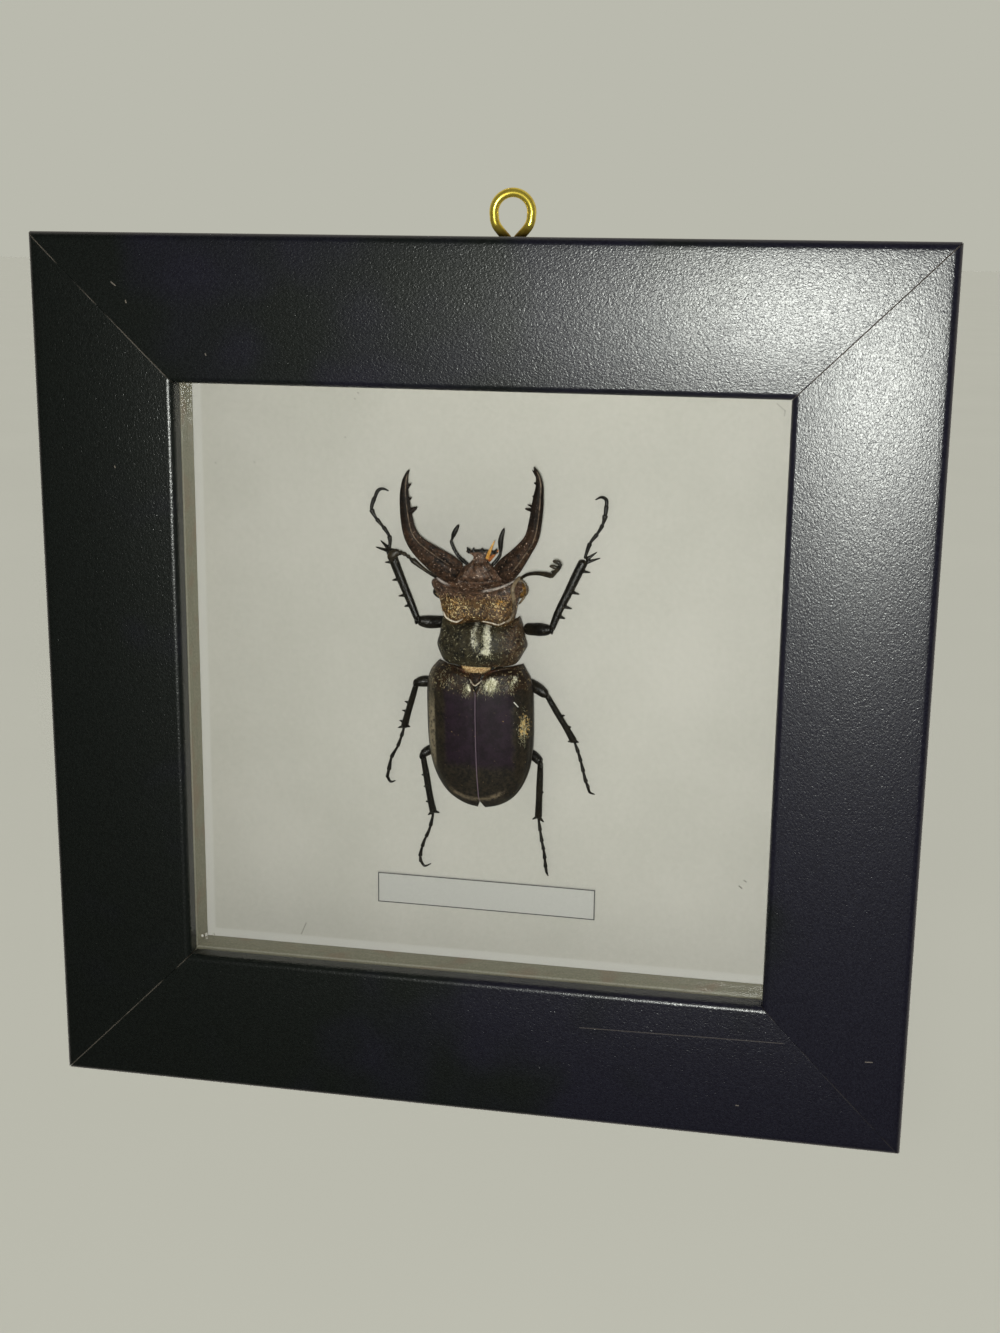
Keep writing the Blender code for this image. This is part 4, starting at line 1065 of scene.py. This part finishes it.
def make_antennae(look):
    """The antennae: a long first limb, a beaded or plain stem and flat end plates, grown into one piece."""
    left = [
        limb([(-10.6, 22.4, 4.8, 0.35), (-12.3, 23.2, 4.5, 0.36), (-14.3, 24.4, 4.3, 0.42),
              (-16.2, 25.8, 4.2, 0.62), (-16.6, 26.2, 4.3, 0.5)], 40),
        limb([(-16.5, 26, 4.4, 0.4), (-17.4, 26.9, 4.7, 0.42), (-18.5, 27.6, 5, 0.5),
              (-19.6, 27.7, 5.2, 0.62)], 40,
             width=lambda share: 0.85 + 0.22 * np.sin(share * 26)),
        limb([(-19.1, 27.7, 5.2, 0.6), (-20.1, 27.6, 5.3, 0.95), (-20.9, 26.8, 5.4, 1),
              (-20.8, 25.8, 5.4, 0.5)], 30,
             flat=0.6),
    ]
    right = [
        limb([(7.6, 23.2, 5.8, 0.32), (9.6, 24.6, 7.2, 0.38), (12.2, 25.25, 8.8, 0.44),
              (14.4, 25.25, 9.9, 0.56), (15.5, 25, 10.3, 0.5)], 50),
        limb([(15.2, 24.8, 10.3, 0.42), (16.1, 26, 10.6, 0.45), (16.9, 27, 10.8, 0.45),
              (17.4, 28, 11, 0.36)], 34),
        limb([(17.3, 28, 11, 0.4), (16.5, 28.3, 11, 0.46), (15.6, 28.5, 11, 0.28)], 24, flat=0.6, ends=0.15),
        limb([(16.8, 26.9, 10.8, 0.36), (15.9, 27.2, 10.9, 0.42), (14.9, 27.4, 10.9, 0.25)], 24, flat=0.6,
             ends=0.15),
        limb([(16.2, 26.1, 10.6, 0.3), (15.2, 26.2, 10.7, 0.22)], 16, flat=0.6, ends=0.2),
    ]
    for side, forms in (("left", left), ("right", right)):
        show(grown_mesh("antenna_" + side + "_shell", forms, 0.09, 1), look, "beetle_black",
             "antenna_" + side)


# Each leg: thigh, shin, foot and claw as rows of x, z, height and radius, and its spines on the shin as the
# x and z of root and tip
LEGS = {
    "leg_front_left": {
        "thigh": [(-9, 12.3, 2.5, 1.3), (-11.2, 12.3, 3.5, 1.4), (-13, 12.4, 4.3, 1.45),
                  (-15.4, 12.75, 4.9, 1)],
        "shin": [(-15, 12.4, 4.9, 0.7), (-16.8, 16.6, 4.6, 0.85), (-18.7, 20.7, 4.1, 0.95),
                 (-20.4, 24.5, 3.6, 1.05), (-21.9, 28.2, 3.1, 1.05)],
        "foot": [(-21.9, 28.2, 3, 0.42), (-22, 30.5, 2.8, 0.45), (-23, 32.2, 2.6, 0.42),
                 (-24.3, 33.6, 2.3, 0.42), (-25.5, 35, 2.1, 0.42), (-26.3, 36.8, 1.9, 0.5),
                 (-25.7, 39.2, 1.6, 0.45)],
        "claw": [(-25.7, 38.9, 1.6, 0.4), (-25, 40.6, 1.5, 0.42), (-23.9, 41.1, 1.4, 0.32),
                 (-22.5, 40.6, 1.2, 0.14)],
        "spines": [((-17, 16), (-18.4, 15.6)), ((-18, 18.2), (-19.8, 17.8)), ((-19.6, 21.6), (-21.3, 21.2)),
                   ((-21, 25.2), (-23.1, 25.1)), ((-22, 27.6), (-25.3, 28.4)),
                   ((-22.2, 28.2), (-24.1, 29.9))],
    },
    "leg_front_right": {
        "thigh": [(8.2, 11.6, 2.5, 1.3), (10.4, 11.8, 3.5, 1.4), (12.2, 12, 4.3, 1.45),
                  (14.8, 12.1, 4.9, 1)],
        "shin": [(14.5, 11.9, 4.9, 0.7), (16, 16.1, 4.6, 0.85), (17.9, 20.2, 4.1, 0.95),
                 (19.6, 24.1, 3.6, 1.05), (21.2, 27.6, 3.1, 1.05)],
        "foot": [(21.2, 27.8, 3, 0.42), (22.3, 31.2, 2.8, 0.45), (23.7, 33.2, 2.5, 0.42),
                 (24.8, 35.2, 2.3, 0.42), (25.3, 37.2, 2, 0.55), (25.5, 39.4, 1.7, 0.45)],
        "claw": [(25.5, 39.1, 1.7, 0.42), (25.4, 40.6, 1.6, 0.42), (24.3, 41.1, 1.4, 0.32),
                 (22.9, 40.4, 1.2, 0.14)],
        "spines": [((16.3, 15.2), (17.6, 14.7)), ((17.2, 17.4), (19, 16.9)), ((18.8, 20.6), (20.5, 20.1)),
                   ((20.6, 25.2), (22.7, 24.9)), ((21.4, 27), (24.8, 28.2)), ((21.5, 27.6), (24, 29.5))],
    },
    "leg_middle_left": {
        "thigh": [(-11, -1.2, 3.2, 1.1), (-12.7, -1.3, 3.5, 1.25), (-14.2, -1.3, 4, 1.25),
                  (-15.8, -1.6, 4.5, 0.9)],
        "shin": [(-15.4, -1.3, 4.5, 0.6), (-16.6, -5.2, 3.9, 0.7), (-17.8, -9, 3.2, 0.75),
                 (-18.9, -12.7, 2.4, 0.85)],
        "foot": [(-18.9, -12.6, 2.3, 0.36), (-19.6, -14.9, 2.1, 0.4), (-20.5, -17.3, 1.9, 0.38),
                 (-22, -20.1, 1.6, 0.4), (-22.7, -23.1, 1.4, 0.45), (-23.2, -25.2, 1.2, 0.35)],
        "claw": [(-23.1, -24.9, 1.2, 0.36), (-22.4, -26.1, 1.1, 0.3), (-21.2, -25.8, 1, 0.13)],
        "spines": [((-17, -6.6), (-18.6, -6.3)), ((-17.6, -8.7), (-19.3, -8.5)),
                   ((-18.4, -11.3), (-20.1, -11.1)), ((-18.7, -12.3), (-20.5, -12.9)),
                   ((-18.6, -12.2), (-17.4, -12.5))],
    },
    "leg_middle_right": {
        "thigh": [(9.2, -0.2, 3.3, 1.1), (10.6, -0.8, 3.7, 1.25), (12.2, -1.6, 4.2, 1.25),
                  (14.1, -2.9, 4.6, 0.9)],
        "shin": [(13.7, -2.4, 4.6, 0.6), (15.9, -6.5, 3.8, 0.68), (17.9, -10, 3.1, 0.7),
                 (19.8, -13.6, 2.4, 0.85)],
        "foot": [(19.8, -13.5, 2.3, 0.36), (20.8, -16.5, 1.9, 0.4), (21.5, -19.1, 1.7, 0.38),
                 (22.3, -22.4, 1.4, 0.42), (23, -24.3, 1.2, 0.38)],
        "claw": [(22.9, -24, 1.2, 0.34), (23.3, -25.3, 1.1, 0.3), (24.5, -25.8, 1, 0.12)],
        "spines": [((16.6, -7.4), (17.8, -7.3)), ((18, -10), (19.2, -10)), ((19.6, -13.2), (20.9, -13.6)),
                   ((19.5, -13.2), (18.2, -13.6))],
    },
    "leg_hind_left": {
        "thigh": [(-10.9, -16.5, 3, 0.95), (-12.4, -17.1, 3.2, 1.1), (-13.4, -17.6, 3.7, 1.05),
                  (-14.4, -18.4, 4.2, 0.85)],
        "shin": [(-14.2, -17.9, 4.2, 0.6), (-13.4, -23.5, 3.5, 0.75), (-12.8, -28.2, 2.9, 0.75),
                 (-12.1, -32.5, 2.2, 0.85)],
        "foot": [(-12.1, -32.4, 2.2, 0.36), (-13.1, -36.5, 1.9, 0.4), (-14.4, -39.6, 1.7, 0.38),
                 (-15.3, -42.8, 1.4, 0.42), (-15.3, -44.9, 1.2, 0.38)],
        "claw": [(-15.3, -44.6, 1.2, 0.34), (-14.4, -45.8, 1.1, 0.28), (-12.8, -45.1, 1, 0.12)],
        "spines": [((-13.5, -23), (-14.7, -23.3)), ((-13.2, -25.8), (-14.3, -26.1)),
                   ((-12.8, -29.4), (-13.9, -29.9)), ((-12.4, -32.2), (-13.5, -33.2)),
                   ((-12.1, -32), (-10.6, -32.4))],
    },
    "leg_hind_right": {
        "thigh": [(9.4, -16.2, 3, 0.95), (10.7, -16.9, 3.2, 1.1), (11.7, -17.5, 3.7, 1.05),
                  (12.8, -18.4, 4.2, 0.85)],
        "shin": [(12.6, -17.9, 4.2, 0.6), (12.4, -23, 3.5, 0.75), (12.2, -27.5, 2.9, 0.75),
                 (12, -31.9, 2.2, 0.85)],
        "foot": [(12, -31.8, 2.2, 0.36), (12.7, -36.8, 1.8, 0.4), (13.3, -40.1, 1.5, 0.38),
                 (13.7, -43.9, 1.2, 0.42)],
        "claw": [(13.7, -43.6, 1.2, 0.36), (13.9, -44.9, 1.1, 0.32), (14.3, -46, 1, 0.12)],
        "spines": [((12, -31.4), (10.5, -32.4)), ((12.1, -31.6), (13.3, -32.9)),
                   ((12.3, -25), (13.3, -25.6))],
    },
}


def foot_beads(share):
    """Width along the foot: each joint widens as the power 1.5 of its share and the next starts narrow."""
    return 0.74 + 0.5 * (share * FOOT_JOINTS % 1) ** 1.5


def make_legs(look):
    """Each leg grown from its thigh, knee, shin, beaded foot, claws and spines."""
    for name, leg in LEGS.items():
        knee = leg["thigh"][-1]
        heights = np.array(sorted((z, height) for _, z, height, _ in leg["shin"]))
        forms = [
            limb(leg["thigh"], 50, sides=24, flat=0.85, ends=0.16),
            limb([(knee[0] - 0.3, knee[1], knee[2] + 0.1, 0.8), (knee[0], knee[1], knee[2] + 0.15, 0.95),
                  (knee[0] + 0.3, knee[1], knee[2] + 0.1, 0.8)], 20, sides=20, ends=0.5),
            limb(leg["shin"], 80, sides=24, flat=0.8, ends=0.05),
            limb(leg["foot"], 120, sides=16, ends=0.03, width=foot_beads),
            limb(leg["claw"], 40, sides=12, ends=0.05),
        ]
        for (x, z), (tip_x, tip_z) in leg["spines"]:
            height = np.interp(z, heights[:, 0], heights[:, 1])
            forms.append(thorn((x, z, height), (tip_x, tip_z, height - 0.2), 0.48))
        show(grown_mesh(name + "_shell", forms, 0.11, 2), look, "beetle_black", name)


# Hair

def hairs(name, roots, directions, length, width, look, slot):
    """Many short hairs as one mesh: three-sided spikes, bent a little to the board, closed at the foot.

    For each hair the points are its foot triangle, a middle triangle at 0.55 of its length with 0.7 of its
    width, and its tip, which lies nearer the board by an eighth of its length.
    """
    directions = directions / np.linalg.norm(directions, axis=1, keepdims=True)
    side = np.cross(directions, (0, 1, 0)) + 1e-6
    side /= np.linalg.norm(side, axis=1, keepdims=True)
    other = np.cross(directions, side)
    angle = np.arange(3) * 2 * np.pi / 3
    spoke = side[:, None] * np.cos(angle)[:, None] + other[:, None] * np.sin(angle)[:, None]
    reach = length[:, None]
    foot = roots[:, None] + spoke * width
    middle = roots[:, None] + (directions * reach * 0.55)[:, None] + spoke * width * 0.7
    tip = roots + directions * reach + np.array((0, 0.125, 0)) * reach
    points = np.concatenate([foot, middle, tip[:, None]], 1)
    start = np.arange(len(roots))[:, None, None] * 7
    quads = start + np.array([(0, 1, 4, 3), (1, 2, 5, 4), (2, 0, 3, 5)])
    triangles = start + np.array([(3, 4, 6), (4, 5, 6), (5, 3, 6), (2, 1, 0)])
    form = (points.reshape(-1, 3), quads.reshape(-1, 4), triangles.reshape(-1, 3))
    show(mesh_of(name, [form]), look, slot)


def scatter(rings, count, seed, weight):
    """Points of a surface grid and their outward directions, drawn at random by a weight on x and z."""
    draw = np.random.default_rng(seed)
    points = rings.reshape(-1, 3)
    down, over = np.gradient(rings, axis=0), np.gradient(rings, axis=1)
    normal = np.cross(down, over).reshape(-1, 3)
    size = np.linalg.norm(normal, axis=1)
    normal = normal / np.maximum(size, 1e-9)[:, None]
    normal[normal[:, 1] > 0] *= -1
    chance = size * weight(points[:, 0], points[:, 2]) * (-normal[:, 1] > 0.25)
    chosen = draw.choice(len(points), count, p=chance / chance.sum())
    jitter = draw.normal(0, 0.07, (count, 3)) * (1, 0, 1)
    return points[chosen] + jitter, normal[chosen], draw


def lying_hairs(name, rings, count, seed, weight, spread, length, width, look, slot):
    """Hairs along a surface that point to the rear, turned at random by a spread, with a little lift."""
    roots, normal, draw = scatter(rings, count, seed, weight)
    turn = np.pi + draw.normal(0, np.radians(spread), count)
    flat = np.stack([np.sin(turn), np.zeros(count), np.cos(turn)], -1)
    flat -= normal * (flat * normal).sum(1, keepdims=True)
    directions = flat + normal * draw.uniform(0.1, 0.45, count)[:, None]
    hairs(name, roots, directions, length * draw.uniform(0.6, 1.3, count), width, look, slot)


def on_plate(x, z):
    """How densely hair grows on the head's plate: thin all over, dense on two patches behind the ridge."""
    return (0.25 + hill(x, -6, 2.6) + hill(x, 4.2, 2.8)) * rise(z, 14.2, 15.6) * (z < 20.3)


def in_columns(x, z):
    """How densely it grows on the front thorax: mostly in two columns that drift right to the rear."""
    columns = hill(x, -0.9 + (13.5 - z) * 0.12, 0.5) + 1.3 * hill(x, 0.9 + (13.5 - z) * 0.15, 0.6)
    return columns * rise(z, 6.2, 7.6) * (z < 14) + 0.03


def on_right_case(x, z):
    """How densely it grows on the right wing case: by the shield, at the shoulder and on its side."""
    return (knoll(x, z, 2.6, 1.5, 0.5, 1.3) + 0.5 * knoll(x, z, 7.2, 0.8, 1, 1.3)
            + 0.5 * knoll(x, z, 9.6, 0.7, -9, 2.4))


def on_left_case(x, z):
    """How densely it grows on the left wing case: by the shield and, faintly, at the shoulder."""
    return knoll(x, z, -2.6, 0.6, -0.6, 1) + 0.12 * knoll(x, z, -7.5, 2.4, 1.2, 1.2)


def make_hair(pronotum_rings, head_rings):
    """The gold fringe at the neck and the short hairs that lie on head, front thorax and wing bases."""
    gold = hair_finish("hair_gold", (150, 100, 44), (255, 230, 172))
    silver = hair_finish("hair_silver", (150, 144, 104), (226, 224, 188))
    draw = np.random.default_rng(31)
    count = 700
    x = draw.uniform(-4.4, 2.1, count)
    z = 4.5 - 0.35 * hill(x, -1.2, 2.5) + draw.normal(0, 0.12, count)
    roots = place(x, z, 8.9 - 0.03 * (x + 1.2) ** 2 + draw.normal(0, 0.15, count))
    directions = np.stack([0.12 * (x + 1.2) + draw.normal(0, 0.12, count), draw.uniform(-0.15, 0.25, count),
                           np.full(count, -1)], -1)
    length = 2.55 * np.clip(1 - ((x + 1.15) / 3.3) ** 2, 0.03, 1) ** 0.6 * draw.uniform(0.8, 1.05, count)
    hairs("neck_fringe", roots, directions, length, 0.055, gold, "beetle_bronze")
    lying_hairs("head_down", head_rings, 700, 41, on_plate, 45, 0.6, 0.045, gold, "beetle_brown")
    lying_hairs("thorax_streaks", pronotum_rings, 450, 43, in_columns, 25, 0.8, 0.035, silver,
                "beetle_bronze")
    t = np.linspace(0.1, 20, 160)[:, None]
    bend = np.linspace(0, 1.5, 120)
    for side, name, count, weight in ((1, "right", 600, on_right_case), (-1, "left", 150, on_left_case)):
        lying_hairs("shoulder_down_" + name, wing_surface(side, t, bend), count, 51 + side, weight, 30, 0.7,
                    0.032, silver, "beetle_wing")


def make_beetle():
    """Every piece of the beetle, with the three finishes that several of them share."""
    # The pale fleck tones given for the legs and the jaws are painted glints.
    black = shell_finish("leg_shell", (5, 5, 2), (28, 24, 14), 0.28, 1.5, 0.12, 0.1, (120, 112, 92), 0.66)
    brown = shell_finish("jaw_shell", (14, 8, 4), (71, 50, 34), 0.5, 1.3, 0.16, 0.03, (190, 164, 142), 0.62,
                         fade=(31, 37), gloss=0.16)
    feeler = shell_finish("feeler_shell", (8, 7, 4), (56, 48, 32), 0.35, 1.2, 0.03)
    make_wings()
    make_torso(black)
    make_shield(brown)
    pronotum_rings = make_pronotum()
    head_rings = make_head()
    make_mouth(black)
    make_head_trim()
    make_jaws(brown)
    make_antennae(feeler)
    make_legs(black)
    make_hair(pronotum_rings, head_rings)


# Camera, light and ground

def make_camera():
    """The photograph's camera: 356 mm before the frame's front, above and to the right of its middle."""
    data = bpy.data.cameras.new("camera")
    data.sensor_fit = 'VERTICAL'
    data.sensor_height = 36
    data.lens = LENS
    data.clip_start = 0.01
    camera = bpy.data.objects.new("camera", data)
    camera.matrix_world = Matrix(CAMERA_PLACE)
    bpy.context.scene.collection.objects.link(camera)
    bpy.context.scene.camera = camera


def add_lamp(name, kind, place_m, power, colour, size, spin, lights):
    """A lamp for one kind of light, unseen by the camera. size is a disc's width or a sun's angle."""
    data = bpy.data.lights.new(name, kind)
    data.energy = power
    data.color = colour
    if kind == 'SUN':
        data.angle = size
    else:
        data.shape = 'DISK'
        data.size = size
    lamp = bpy.data.objects.new(name, data)
    lamp.location = place_m
    lamp.rotation_euler = np.radians(spin)
    lamp.visible_camera = False
    lamp.visible_diffuse = lights == "diffuse"
    lamp.visible_glossy = lights == "glossy"
    bpy.context.scene.collection.objects.link(lamp)
    return lamp


def make_stage():
    """A soft lamp at the lens, a small one below it for the shine, a sun from behind, a room and a floor.

    The room's light rises in a smooth step from its front half to its back half, so that the object's sides
    show. The lamp for the shine leaves out the glass, which would mirror it as a white disc.
    """
    add_lamp("flash_spread", 'AREA', (0.07, -0.3822, 0.086), 1.28, (1, 1, 0.985), 0.02, (70, 0, -8),
             "diffuse")
    shine = add_lamp("flash_shine", 'AREA', (0.0575, -0.3822, 0.0445), 1.05, (0.97, 1, 0.93), 0.012,
                     (90, 0, 0), "glossy")
    unlit = bpy.data.collections.new("without_shine")
    unlit.objects.link(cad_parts["glass_pane"])
    unlit.collection_objects[0].light_linking.link_state = 'EXCLUDE'
    shine.light_linking.receiver_collection = unlit
    add_lamp("sun", 'SUN', (0, 1, 1), 2.55, (1, 0.99, 0.96), 0.4, (-45, 0, 15), "diffuse")
    world = bpy.data.worlds.new("room")
    bpy.context.scene.world = world
    world.use_nodes = True
    tree = world.node_tree
    room = tree.nodes["Background"]
    room.inputs["Color"].default_value = (1, 0.94, 0.84, 1)
    start = Field(tree, None)
    behind = start.add("ShaderNodeTexCoord").parts()[1].step(-0.3, 0.3)
    tree.links.new((0.05 + 0.45 * behind).socket, room.inputs["Strength"])
    seen = start.add("ShaderNodeBackground", None, {"Color": tone(186, 186, 174), "Strength": 1})
    camera_ray = start.add("ShaderNodeLightPath")
    mixed = start.add("ShaderNodeMixShader", None, {0: camera_ray, 1: Field(tree, room.outputs[0]), 2: seen})
    tree.links.new(mixed.socket, tree.nodes["World Output"].inputs["Surface"])
    data = bpy.data.meshes.new("floor")
    corners = ((-1, -1), (1, -1), (1, 1), (-1, 1))
    data.from_pydata([(x * FLOOR_REACH, y * FLOOR_REACH, FLOOR_LEVEL) for x, y in corners], [],
                     [(0, 1, 2, 3)])
    look, point = finish("floor_pale", Roughness=0.9, Specular_IOR_Level=0.1)
    wire(look, Base_Color=point.noise(0.002, 2).blend((194, 196, 187), (199, 201, 192)))
    data.materials.append(look)
    floor = bpy.data.objects.new("floor", data)
    bpy.context.scene.collection.objects.link(floor)
    floor.visible_glossy = False
    bpy.context.scene.view_settings.view_transform = 'Standard'


make_camera()
make_stage()
make_frame()
make_lining()
make_crumbs()
make_label()
make_tape()
make_hanging_eye()
make_beetle()
